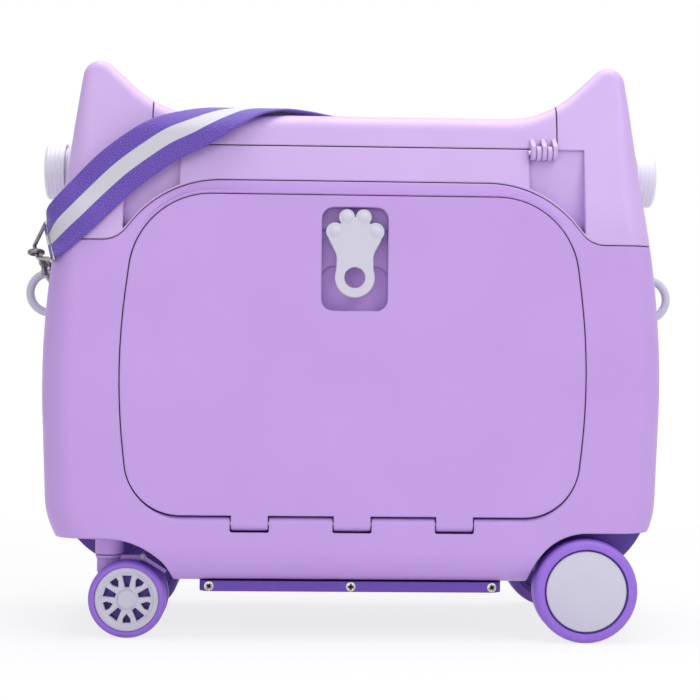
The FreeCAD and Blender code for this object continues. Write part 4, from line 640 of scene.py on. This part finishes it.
@dataclass
class CrossScrew:
    """Pan-head screw with a cross recess, lying on its seat with the head towards +Z."""

    head: float = 3.6 * MM
    height: float = 0.9 * MM
    shank: float = 1.6 * MM
    reach: float = 8.0 * MM
    arm: float = 2.3 * MM
    slot: float = 0.62 * MM
    depth: float = 1.5 * MM
    # share of the recess that is left at its floor
    taper: float = 0.7
    rim_steps: int = 24
    # share of the head's radius and number of points
    inner_rings: tuple = ((0.66, 16), (0.84, 20), (0.95, 24))

    def level(self, x: float, y: float) -> float:
        """Height of the domed head over its seat at a point."""
        share = min(1.0, math.hypot(x, y) / self.head)
        return self.height * (1.0 - 0.75 * share ** 4)

    def circle(self, radius: float, count: int) -> list[Vector]:
        """Points of a circle round the axis, starting half a step off X."""
        angles = [2 * math.pi * (i + 0.5) / count for i in range(count)]
        return [Vector((radius * math.cos(angle), radius * math.sin(angle))) for angle in angles]

    def mesh(self) -> Mesh:
        """Builds the head round its recess, the recess itself and the shank."""
        a, s, steps = self.arm, self.slot, self.rim_steps
        cross = [(s, s), (s, a), (-s, a), (-s, s), (-a, s), (-a, -s),
                 (-s, -s), (-s, -a), (s, -a), (s, -s), (a, -s), (a, s)]
        corners = len(cross)
        points = [Vector(p) for p in cross]
        edges = [(i, (i + 1) % corners) for i in range(corners)]
        for share, count in self.inner_rings:
            points += self.circle(self.head * share, count)
        first = len(points)
        points += self.circle(self.head, steps)
        edges += [(first + i, first + (i + 1) % steps) for i in range(steps)]
        flat, _, faces, _, _, _ = delaunay_2d_cdt(points, edges, [], 0, 1e-7)
        form = bmesh.new()
        verts = [form.verts.new((p.x, p.y, self.level(p.x, p.y))) for p in flat]
        for face in faces:
            middle = sum((flat[i] for i in face), Vector((0, 0))) / len(face)
            x, y = abs(middle.x), abs(middle.y)
            if not ((x < s and y < a) or (y < s and x < a)):
                form.faces.new([verts[i] for i in face])
        taper, bottom = self.taper, self.height - self.depth
        floor = [form.verts.new((x * taper, y * taper, bottom)) for x, y in cross]
        for i in range(corners):
            k = (i + 1) % corners
            form.faces.new((verts[i], verts[k], floor[k], floor[i]))
        form.faces.new(floor)
        rims = [verts[-steps:]]
        for radius, z in ((self.head, 0.0), (self.shank, 0.0), (self.shank, -self.reach),
                          (0.2 * self.shank, -self.reach)):
            rims.append([form.verts.new((p.x, p.y, z)) for p in self.circle(radius, steps)])
        for upper, lower in zip(rims, rims[1:]):
            for i in range(steps):
                k = (i + 1) % steps
                form.faces.new((upper[i], lower[i], lower[k], upper[k]))
        form.faces.new(list(reversed(rims[-1])))
        bmesh.ops.recalc_face_normals(form, faces=form.faces)
        mesh = bpy.data.meshes.new("cross_screw")
        form.verts.index_update()
        painted_deep_shade = {vert.index for vert in floor}
        form.to_mesh(mesh)
        form.free()
        # marks the cross recess, which the steel darkens with painted shade
        recess = mesh.attributes.new("recess", "FLOAT", "POINT")
        for index in range(len(mesh.vertices)):
            recess.data[index].value = 1.0 if index in painted_deep_shade or index < corners else 0.0
        mesh.set_sharp_from_angle(angle=SCREW_SHARP)
        return mesh


@dataclass
class MouldedCase:
    """Tub, top frame, tray and the dark underside with its screws."""

    finishes: Finishes
    screw_pitch: float = 108.0 * MM
    screw_face: float = 84.0 * MM
    screw_level: float = 40.0 * MM
    # turn of the first recess and from each screw to the next, in radians
    roll_first: float = 0.35
    roll_step: float = 0.6

    def dress(self) -> None:
        """Gives the case's own nodes their finish."""
        dress(self.finishes.case, "lower_shell")
        dress(self.finishes.upper, "upper_frame")
        dress(self.finishes.liner, "upper_tray")
        dress(self.finishes.underside, "bottom_runner", "caster_housing", "wheel_housing")
        dress(self.finishes.steel, "door_hinge_rod", "lid_hinge_pins", "latch_keeper", "rear_axle",
              "knob_screws")

    def screws(self) -> None:
        """Sets the runner's screws, front and back, each turned a little differently."""
        screw = linked("cross_screw", CrossScrew().mesh())
        points, turns = [], []
        for number, x in enumerate((-self.screw_pitch, 0.0, self.screw_pitch)):
            for side in (-1, 1):
                points.append((x, self.screw_face * side, self.screw_level))
                roll = Matrix.Rotation(self.roll_first + self.roll_step * number + side, 3, "Z")
                turns.append((Matrix.Rotation(-side * math.pi / 2, 3, "X") @ roll).to_euler())
        base = bpy.data.meshes.new("screw_places")
        base.from_pydata(points, [], [])
        turn = base.attributes.new("turn", "FLOAT_VECTOR", "POINT")
        for i, angles in enumerate(turns):
            turn.data[i].vector = angles
        piece = grow("runner_cross_screws", base, screw_tree(), {
            "Screw": screw, "Metal": self.finishes.steel})
        piece.data.set_sharp_from_angle(angle=SCREW_SHARP)
        bpy.data.objects.remove(screw)
        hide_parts("runner_screws")
        keep(piece, "case")

    def build(self) -> None:
        """Dresses and completes the case."""
        self.dress()
        self.screws()
        TRAY_BEADS.lay("tray_beads", "case", self.finishes.liner)


@dataclass
class FoldDownDoor:
    """Front door with its inner panel."""

    finishes: Finishes

    def build(self) -> None:
        """Dresses the door and beads its inner panel."""
        dress(self.finishes.case, "front_door")
        dress(self.finishes.liner, "door_liner")
        DOOR_BEADS.lay("door_liner_beads", "door", self.finishes.liner)


@dataclass
class PawLatch:
    """Lever, pin, bolt and spring of the latch."""

    finishes: Finishes

    def build(self) -> None:
        """Dresses the latch."""
        dress(self.finishes.white, "paw_latch", "latch_bolt")
        # painted shade: the pin takes the dark underside purple so that it reads as the shade of the recess
        # round the paw
        dress(self.finishes.underside, "latch_pin")
        dress(self.finishes.steel, "latch_spring")


@dataclass
class SeatLid:
    """Seat lid and the panel that closes it underneath."""

    finishes: Finishes

    def build(self) -> None:
        """Dresses the lid and beads its panel."""
        dress(self.finishes.upper, "top_lid")
        dress(self.finishes.liner, "lid_liner")
        LID_BEADS.lay("lid_liner_beads", "lid", self.finishes.liner)


@dataclass
class EndFittings:
    """White knobs and strap loops on both ends."""

    finishes: Finishes

    def build(self) -> None:
        """Dresses the knobs and loops."""
        dress(self.finishes.knob, "knob_left", "knob_right")
        dress(self.finishes.white, "strap_loop_left", "strap_loop_right")


@dataclass
class SwivelCasters:
    """Twin-wheel casters under the left end."""

    finishes: Finishes
    dust_inner: float = 7.8 * MM
    dust_outer: float = 20.2 * MM
    dust_thickness: float = 1.2 * MM
    dust_depth: float = 2.6 * MM
    dust_soft: float = 0.25 * MM
    cover_air: float = 0.02 * MM
    ring_steps: int = 48
    ring_sharp: float = 20.0
    # radius and height in millimetres of a cover with a raised rim and boss
    cover_form: tuple = ((1.5, 0.0), (23.6, 0.0), (23.6, 0.45), (23.3, 0.7), (20.6, 0.7), (19.8, 0.3),
                         (7.2, 0.3), (6.4, 0.7), (1.9, 0.7), (1.5, 0.4))

    def ring(self, name: str, middle: Vector, start: float, profile: list) -> Object:
        """Turns a closed profile round the wheel's axis.

        Args:
            name: Name of the piece.
            middle: Middle of the wheel.
            start: Depth that the profile is measured from.
            profile: Radius and depth of each corner.

        Returns:
            The ring.
        """
        steps, count = self.ring_steps, len(profile)
        points, faces = [], []
        for i in range(steps):
            angle = 2 * math.pi * i / steps
            for radius, depth in profile:
                points.append((middle.x + radius * math.cos(angle), start + depth,
                               middle.z + radius * math.sin(angle)))
        for i in range(steps):
            k = (i + 1) % steps
            for j in range(count):
                m = (j + 1) % count
                faces.append((i * count + j, i * count + m, k * count + m, k * count + j))
        ring = mesh_object(name, points, faces, self.finishes.underside)
        outward(ring.data, self.ring_sharp)
        return ring

    def plate(self, word: str, place: str) -> None:
        """Closes a hub's windows: from behind on the outer wheels, by a cover on the inner ones.

        Args:
            word: front or back caster.
            place: near or far wheel of it.
        """
        low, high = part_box("caster_hub_%s_%s" % (word, place))
        fork_low, fork_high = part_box("caster_fork_" + word)
        middle = (low + high) / 2
        way = 1.0 if middle.y > (fork_low.y + fork_high.y) / 2 else -1.0
        inner_wheel = (word, place) in (("front", "far"), ("back", "near"))
        if inner_wheel:
            start = (high.y if way > 0 else low.y) + way * self.cover_air
            corners = [(radius * MM, depth * MM) for radius, depth in self.cover_form]
        else:
            start = (low.y if way > 0 else high.y) + way * self.dust_depth
            a, b, t, soft = self.dust_inner, self.dust_outer, self.dust_thickness, self.dust_soft
            corners = [(a, soft), (a + soft, 0.0), (b - soft, 0.0), (b, soft), (b, t - soft), (b - soft, t),
                       (a + soft, t), (a, t - soft)]
        name = ("hub_cover_%s_%s" if inner_wheel else "dust_ring_%s_%s") % (word, place)
        ring = self.ring(name, middle, start, [(radius, way * depth) for radius, depth in corners])
        keep(ring, "caster_wheel_%s_%s" % (word, place))

    def build(self) -> None:
        """Dresses both casters."""
        for word in ("front", "back"):
            dress(self.finishes.case, "caster_socket_" + word, "caster_fork_" + word)
            dress(self.finishes.lever, "brake_lever_" + word)
            dress(self.finishes.steel, "caster_stem_" + word, "caster_axle_" + word)
            dress(self.finishes.nickel, "brake_pin_" + word)
            for place in ("near", "far"):
                dress(self.finishes.tyre, "caster_tyre_%s_%s" % (word, place))
                dress(self.finishes.white, "caster_hub_%s_%s" % (word, place))
                self.plate(word, place)


@dataclass
class FixedWheels:
    """Large wheels under the right end."""

    finishes: Finishes

    def build(self) -> None:
        """Dresses both wheels."""
        for word in ("front", "back"):
            dress(self.finishes.tyre, "tyre_" + word)
            # the rims take the dark underside purple, a moulded colour that also stands in for the shade
            # they sit in under the case
            dress(self.finishes.underside, "rim_" + word)
            dress(self.finishes.white, "hub_cap_" + word)


LEAN = (0.0, -math.cos(math.radians(11)), math.sin(math.radians(11)))
FRONT_RUN = (
    # place in millimetres, then the way that the outer face looks
    ((-229.1, -89.4, 301.5), (-0.85, -0.5, 0.15)),
    ((-220.0, -97.2, 312.0), (-0.35, -0.93, 0.1)),
    ((-208.5, -100.6, 323.0), (-0.12, -0.98, 0.12)),
    ((-196.0, -98.73, 336.0), LEAN),
    ((-177.0, -99.24, 354.0), LEAN),
    ((-157.0, -99.92, 369.0), LEAN),
    ((-140.0, -99.98, 380.0), LEAN),
    ((-126.0, -99.12, 386.5), LEAN),
    ((-112.0, -95.0, 393.2), (0.0, -0.86, 0.5)),
    ((-97.0, -87.0, 400.0), (-0.03, -0.62, 0.78)),
    ((-84.0, -76.0, 404.0), (-0.03, -0.3, 0.95)),
    ((-67.0, -62.0, 405.0), (0.0, -0.1, 0.99)),
    ((-48.0, -45.0, 404.4), (0.0, 0.0, 1.0)),
    ((-27.0, -25.0, 403.0), (0.0, 0.0, 1.0)),
)
# depth of the back run at the heights where it differs from the front run
BACK_DEPTHS = {
    336.0: 98.33, 354.0: 94.84, 369.0: 91.92, 380.0: 90.28, 386.5: 90.02, 393.2: 88.5, 400.0: 83.5}


@dataclass(frozen=True)
class StrapLine:
    """Stations of the strap: places, three directions each, and the length run through."""

    line: np.ndarray
    along: np.ndarray
    across: np.ndarray
    face: np.ndarray
    run: np.ndarray

    def spot(self, distance: float, side: float, lift: float) -> np.ndarray:
        """Gives a point of the strap.

        Args:
            distance: Length along the strap.
            side: Way across it from the middle.
            lift: Height over its middle surface.

        Returns:
            The point.
        """
        i = int(np.clip(np.searchsorted(self.run, distance), 0, len(self.run) - 1))
        return self.line[i] + self.across[i] * side + self.face[i] * lift


@dataclass
class CarryStrap:
    """Woven strap from one end over the lid to the other end, with rings, snap hooks and stitching."""

    finishes: Finishes
    width: float = 38.0 * MM
    thickness: float = 1.6 * MM
    selvedge: float = 0.5 * MM
    ring_wire: float = 1.5 * MM
    air: float = 0.3 * MM
    stations: int = 300
    columns: int = 20
    # way out along X at which the band goes over from bent to flat, and the length that this takes
    flat_from: float = 205 * MM
    flat_fade: float = 25 * MM
    # most that the case pushes the band out, start of the test rays, and stations that a push reaches
    push_most: float = 6 * MM
    ray_out: float = 25 * MM
    push_reach: int = 8
    stitch_span: tuple[float, float] = (5 * MM, 31 * MM)
    stitch_sides: tuple = (-15.5 * MM, -9 * MM, 9 * MM, 15.5 * MM)
    stitch_parts: int = 12
    stitch_lift: float = 0.05 * MM
    stitch_pitch: float = 3.0 * MM
    stitch_length: float = 2.4 * MM
    stitch_radius: float = 0.32 * MM
    # fold round an end ring: its turn in degrees, both faces over the wire, and its share of the width
    fold_turn: float = 236.0
    fold_faces: tuple[float, float] = (0.75 * MM, 0.06 * MM)
    fold_bar: float = 0.4 * MM
    fold_share: float = 0.97
    fold_steps: int = 18
    fold_columns: int = 16

    def route(self) -> tuple[np.ndarray, np.ndarray]:
        """Gives the strap's route and the way its face looks.

        Returns:
            Points in metres and unit directions, one row each.
        """
        back = []
        for (x, y, z), (u, v, w) in reversed(FRONT_RUN):
            back.append(((-x, BACK_DEPTHS.get(z, -y), z), (-u, -v, w)))
        rows = list(FRONT_RUN) + [((0.0, 0.0, 402.2), (0.0, 0.0, 1.0))] + back
        points = np.array([p for p, _ in rows]) * MM
        facing = np.array([f for _, f in rows])
        return points, facing / np.linalg.norm(facing, axis=1)[:, None]

    def smooth(self, rows: np.ndarray, knots: np.ndarray, at: np.ndarray) -> np.ndarray:
        """Reads a smooth curve through rows.

        Args:
            rows: Values at the knots.
            knots: Rising parameter of each row.
            at: Parameters to read at.

        Returns:
            One row for each parameter.
        """
        slope = np.gradient(rows, knots, axis=0)
        seat = np.clip(np.searchsorted(knots, at) - 1, 0, len(knots) - 2)
        span = (knots[seat + 1] - knots[seat])[:, None]
        t = ((at - knots[seat]) / span[:, 0])[:, None]
        return ((2 * t ** 3 - 3 * t ** 2 + 1) * rows[seat] + (t ** 3 - 2 * t ** 2 + t) * span * slope[seat]
                + (3 * t ** 2 - 2 * t ** 3) * rows[seat + 1] + (t ** 3 - t ** 2) * span * slope[seat + 1])

    def lay(self) -> StrapLine:
        """Works out the strap's line with its three directions."""
        points, facing = self.route()
        knots = np.concatenate([[0.0], np.cumsum(np.linalg.norm(np.diff(points, axis=0), axis=1))])
        at = np.linspace(0.0, knots[-1], self.stations)
        line = self.smooth(points, knots, at)
        face = self.smooth(facing, knots, at)
        along = np.gradient(line, axis=0)
        along /= np.linalg.norm(along, axis=1)[:, None]
        face -= along * (face * along).sum(1)[:, None]
        face /= np.linalg.norm(face, axis=1)[:, None]
        run = np.concatenate([[0.0], np.cumsum(np.linalg.norm(np.diff(line, axis=0), axis=1))])
        return StrapLine(line, along, np.cross(along, face), face, run)

    def sheet(self, way: StrapLine) -> np.ndarray:
        """Lays the middle surface: flat at the ends, bent over the edges of the case between them.

        Between the ends a point keeps its place in the flat band, which only bends round lines along X, as
        cloth does over a straight edge.

        Args:
            way: The strap's line.

        Returns:
            Points by station and column.
        """
        sides = np.linspace(-1.0, 1.0, self.columns + 1) * (self.width / 2 - self.selvedge)
        flat = way.line[:, None] + way.across[:, None] * sides[None, :, None]
        steps = np.diff(way.line, axis=0)
        rise = np.concatenate([[0.0], np.cumsum(np.hypot(steps[:, 1], steps[:, 2]))])
        course = np.stack([np.gradient(way.line[:, 0]), np.gradient(rise)], axis=1)
        course /= np.linalg.norm(course, axis=1)[:, None]
        x = way.line[:, 0][:, None] + sides * course[:, 1][:, None]
        level = rise[:, None] - sides * course[:, 0][:, None]
        y, z = (np.interp(level, rise, way.line[:, axis]) for axis in (1, 2))
        bent = np.stack([x, y, z], axis=2)
        share = np.clip((self.flat_from - np.abs(way.line[:, 0])) / self.flat_fade, 0.0, 1.0)
        share = (share * share * (3 - 2 * share))[:, None, None]
        return self.clear(flat * (1 - share) + bent * share)

    def clear(self, points: np.ndarray) -> np.ndarray:
        """Moves the sheet out where it would touch the lid, the frame or the tub.

        Args:
            points: Points by station and column.

        Returns:
            The same points with room below them.
        """
        corners, faces = [], []
        for name in ("top_lid", "upper_frame", "lower_shell", "front_door"):
            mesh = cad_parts[name].data
            first = len(corners)
            corners += [v.co.copy() for v in mesh.vertices]
            faces += [[first + i for i in polygon.vertices] for polygon in mesh.polygons]
        tree = BVHTree.FromPolygons(corners, faces)
        gap, out, reach_by = self.thickness / 2 + self.air, self.ray_out, self.push_reach
        normal = np.cross(np.gradient(points, axis=1), np.gradient(points, axis=0))
        normal /= np.linalg.norm(normal, axis=2)[:, :, None]
        push = np.zeros(points.shape[:2])
        for i, j in np.ndindex(push.shape):
            hit = tree.ray_cast(Vector(points[i, j] + normal[i, j] * out), Vector(-normal[i, j]))[3]
            if hit is not None and 0.0 < out - hit + gap < self.push_most:
                push[i, j] = out - hit + gap
        # each push reaches some way along the strap and fades there, so the band stays smooth
        reach = push.copy()
        for k in range(1, reach_by + 1):
            reach[k:] = np.maximum(reach[k:], push[:-k])
            reach[:-k] = np.maximum(reach[:-k], push[k:])
        window = 2 * reach_by + 1
        for j in range(push.shape[1]):
            padded = np.pad(reach[:, j], reach_by, "edge")
            push[:, j] = np.convolve(padded, np.ones(window) / window, "valid")
        return points + normal * push[:, :, None]

    def webbing(self, way: StrapLine) -> Object:
        """Builds the band with its weave map in metres across and along.

        Args:
            way: The strap's line.

        Returns:
            The band.
        """
        middle = self.sheet(way)
        across, along = np.gradient(middle, axis=1), np.gradient(middle, axis=0)
        normal = np.cross(across, along)
        normal *= self.thickness / 2 / np.linalg.norm(normal, axis=2)[:, :, None]
        across *= self.selvedge / np.linalg.norm(across, axis=2)[:, :, None]
        upper, lower = middle + normal, (middle - normal)[:, ::-1]
        left, right = middle[:, :1] - across[:, :1], middle[:, -1:] + across[:, -1:]
        loop = np.concatenate([upper, right, lower, left], axis=1)
        count = loop.shape[1]
        sides = np.linspace(0.0, self.width, self.columns + 1)
        sides = np.concatenate([sides, [self.width], sides[::-1], [0.0]])
        faces = []
        for i in range(self.stations - 1):
            for j in range(count):
                k = (j + 1) % count
                faces.append((i * count + j, i * count + k, (i + 1) * count + k, (i + 1) * count + j))
        faces.append(tuple(reversed(range(count))))
        faces.append(tuple((self.stations - 1) * count + j for j in range(count)))
        band = mesh_object("strap_band", list(loop.reshape(-1, 3)), faces, self.finishes.webbing)
        weave = band.data.uv_layers.new(name="weave")
        for corner in band.data.loops:
            station, column = divmod(corner.vertex_index, count)
            weave.data[corner.index].uv = (sides[column], way.run[station])
        outward(band.data)
        return band

    def stitches(self, way: StrapLine) -> Object:
        """Sews four rows along each end of the strap, two on each side of the white band.

        Args:
            way: The strap's line.

        Returns:
            The stitches.
        """
        lift = self.thickness / 2 + self.stitch_lift
        points, edges = [], []
        end = way.run[-1]
        start, stop = self.stitch_span
        for near, far in ((start, stop), (end - start, end - stop)):
            for side in self.stitch_sides:
                first = len(points)
                for t in np.linspace(0.0, 1.0, self.stitch_parts + 1):
                    points.append(tuple(way.spot(near + (far - near) * t, side, lift)))
                edges.extend((first + i, first + i + 1) for i in range(self.stitch_parts))
        base = bpy.data.meshes.new("seam_lines")
        base.from_pydata(points, edges, [])
        return grow("strap_stitches", base, stitch_tree(), {
            "Pitch": self.stitch_pitch, "Length": self.stitch_length, "Radius": self.stitch_radius,
            "Thread": self.finishes.thread})

    def wrap(self, way: StrapLine, word: str) -> Object:
        """Turns the webbing round the bar of an end ring.

        Args:
            way: The strap's line.
            word: left or right end.

        Returns:
            The fold.
        """
        i, sign = (0, -1.0) if word == "left" else (-1, 1.0)
        out = way.along[i] * sign
        bar = way.line[i] + out * (self.ring_wire + self.fold_bar)
        steps, columns, turn = self.fold_steps, self.fold_columns, self.fold_turn
        points, faces, places = [], [], []
        for lift in self.fold_faces:
            radius = self.ring_wire + lift
            for s in range(steps + 1):
                angle = math.radians(-turn / 2 + turn * s / steps)
                spoke = out * math.cos(angle) + way.face[i] * math.sin(angle)
                for share in np.linspace(-1.0, 1.0, columns + 1):
                    side = share * self.width / 2 * self.fold_share
                    points.append(bar + spoke * radius + way.across[i] * side)
                    places.append(((share + 1) * self.width / 2, radius * angle))
        row, layer = columns + 1, (steps + 1) * (columns + 1)
        for s in range(steps):
            for c in range(columns):
                a, b, d, e = s * row + c, s * row + c + 1, (s + 1) * row + c, (s + 1) * row + c + 1
                faces += [(a, b, e, d), (layer + a, layer + d, layer + e, layer + b)]
        rim = [s * row for s in range(steps + 1)] + [steps * row + c for c in range(1, columns + 1)]
        rim += [s * row + columns for s in range(steps - 1, -1, -1)] + list(range(columns - 1, 0, -1))
        for a, b in zip(rim, rim[1:] + rim[:1]):
            faces.append((a, b, layer + b, layer + a))
        fold = mesh_object("strap_wrap_" + word, points, faces, self.finishes.webbing)
        weave = fold.data.uv_layers.new(name="weave")
        for corner in fold.data.loops:
            weave.data[corner.index].uv = places[corner.vertex_index]
        outward(fold.data)
        return fold

    def build(self) -> None:
        """Builds the strap and dresses its metal."""
        way = self.lay()
        band = self.webbing(way)
        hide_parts("strap_webbing")
        for piece in (band, self.stitches(way), self.wrap(way, "left"), self.wrap(way, "right")):
            keep(piece, "case")
        for word in ("left", "right"):
            dress(self.finishes.nickel, "strap_ring_" + word, "strap_hook_" + word, "hook_gate_" + word)


LAMPS = (
    # name, place, aim, side of the box in metres, watts
    ("key_box", (1.1, -1.5, 1.6), (0.0, 0.0, 0.25), 1.2, 13.0),
    ("fill_box", (-0.6, -2.0, 0.45), (0.0, 0.0, 0.22), 1.3, 6.0),
    ("top_box", (0.1, 0.0, 1.8), (0.0, 0.0, 0.3), 1.3, 23.0),
)
WHITE = (1.0, 1.0, 1.0, 1.0)


def seen_white(tree: NodeTree) -> Any:
    """Gives a socket that is 1 for camera, glossy and transmission rays, which see plain white."""
    ray = add(tree, "ShaderNodeLightPath").outputs
    direct = calc(tree, "MAXIMUM", ray["Is Camera Ray"], ray["Is Glossy Ray"])
    return calc(tree, "MAXIMUM", direct, ray["Is Transmission Ray"])


@dataclass
class Studio:
    """Pale floor, soft lamps, white surroundings and the camera at the photograph's viewing angle."""

    eye: tuple[float, float, float] = (-0.04408, -1.3216, 0.22293)
    yaw: float = 1.926
    pitch: float = -0.112
    roll: float = 0.618
    focal_pixels: float = 1624.4
    floor_half: float = 4.0
    # distances from the middle between which the floor goes over to white, and the white at each
    fade_span: tuple[float, float] = (0.3, 0.9)
    fade_white: tuple[float, float] = (0.8, 1.0)
    soft_strength: float = 0.42

    def camera(self) -> None:
        """Sets the camera: yaw turns it to +X, roll tips its right side up."""
        yaw, pitch, roll = (math.radians(v) for v in (self.yaw, self.pitch, self.roll))
        level = math.cos(pitch)
        forward = Vector((math.sin(yaw) * level, math.cos(yaw) * level, math.sin(pitch)))
        right = Vector((math.cos(yaw), -math.sin(yaw), 0.0))
        up = right.cross(forward)
        side = right * math.cos(roll) + up * math.sin(roll)
        top = up * math.cos(roll) - right * math.sin(roll)
        lens = bpy.data.cameras.new("camera")
        lens.sensor_width = SENSOR_MM
        lens.lens = self.focal_pixels / FRAME_PIXELS * SENSOR_MM
        lens.clip_start = 0.01
        view = linked("camera", lens)
        turn = Matrix((side, top, -forward)).transposed().to_4x4()
        view.matrix_world = Matrix.Translation(self.eye) @ turn
        bpy.context.scene.camera = view

    def lamp(self, name: str, place: tuple, aim: tuple, size: float, power: float) -> None:
        """Adds a square soft box.

        Args:
            name: Name of the lamp.
            place: Where it stands.
            aim: Point that it faces.
            size: Side of the box in metres.
            power: Watts.
        """
        box = bpy.data.lights.new(name, "AREA")
        box.size = size
        box.energy = power
        lamp = linked(name, box)
        lamp.location = place
        lamp.rotation_euler = (Vector(aim) - Vector(place)).to_track_quat("-Z", "Y").to_euler()

    def floor(self) -> None:
        """Lays a pale floor that shows white to the camera and still takes the object's shadow."""
        h = self.floor_half
        plane = mesh_object("studio_floor", [(-h, -h, 0), (h, -h, 0), (h, h, 0), (-h, h, 0)],
                            [(0, 1, 2, 3)], self.floor_finish())

    def floor_finish(self) -> Material:
        """Builds the floor's matt white paper with a share of its own white for the camera."""
        material, tree = new_material("studio_paper")
        # away from the object the paper goes over to plain white, so no horizon shows
        place = add(tree, "ShaderNodeTexCoord").outputs["Object"]
        away = add(tree, "ShaderNodeVectorMath", {0: place}, operation="LENGTH")
        fade = ramp(tree, away.outputs["Value"], self.fade_span, self.fade_white)
        paper = add(tree, "ShaderNodeBsdfDiffuse", {"Color": linear("#F7F6F8")})
        white = add(tree, "ShaderNodeEmission", {"Color": WHITE, "Strength": 1.0})
        both = add(tree, "ShaderNodeMixShader", {
            0: calc(tree, "MULTIPLY", seen_white(tree), fade), 1: paper.outputs["BSDF"],
            2: white.outputs["Emission"]})
        add(tree, "ShaderNodeOutputMaterial", {"Surface": both.outputs["Shader"]})
        return material

    def surroundings(self) -> None:
        """Makes the world: white where the camera or a reflection sees it, a soft grey light elsewhere."""
        world = bpy.data.worlds.new("studio")
        world.use_nodes = True
        tree = world.node_tree
        tree.nodes.clear()
        soft = add(tree, "ShaderNodeBackground", {
            "Color": linear("#FBFAFF"), "Strength": self.soft_strength})
        white = add(tree, "ShaderNodeBackground", {"Color": WHITE, "Strength": 1.0})
        both = add(tree, "ShaderNodeMixShader", {
            0: seen_white(tree), 1: soft.outputs["Background"], 2: white.outputs["Background"]})
        add(tree, "ShaderNodeOutputWorld", {"Surface": both.outputs["Shader"]})
        bpy.context.scene.world = world

    def build(self) -> None:
        """Sets up the whole studio."""
        bpy.context.scene.view_settings.view_transform = "Standard"
        self.camera()
        self.floor()
        self.surroundings()
        for lamp in LAMPS:
            self.lamp(*lamp)


def main() -> None:
    """Builds the studio and every sub-assembly in order."""
    logging.basicConfig(level=logging.INFO, format="%(name)s: %(message)s")
    Studio().build()
    finishes = Finishes.build()
    for kind in (MouldedCase, FoldDownDoor, PawLatch, SeatLid, EndFittings, CarryStrap, SwivelCasters,
                 FixedWheels):
        kind(finishes).build()
        LOG.info("finished %s", kind.__name__)


if __name__ == "__main__":
    main()
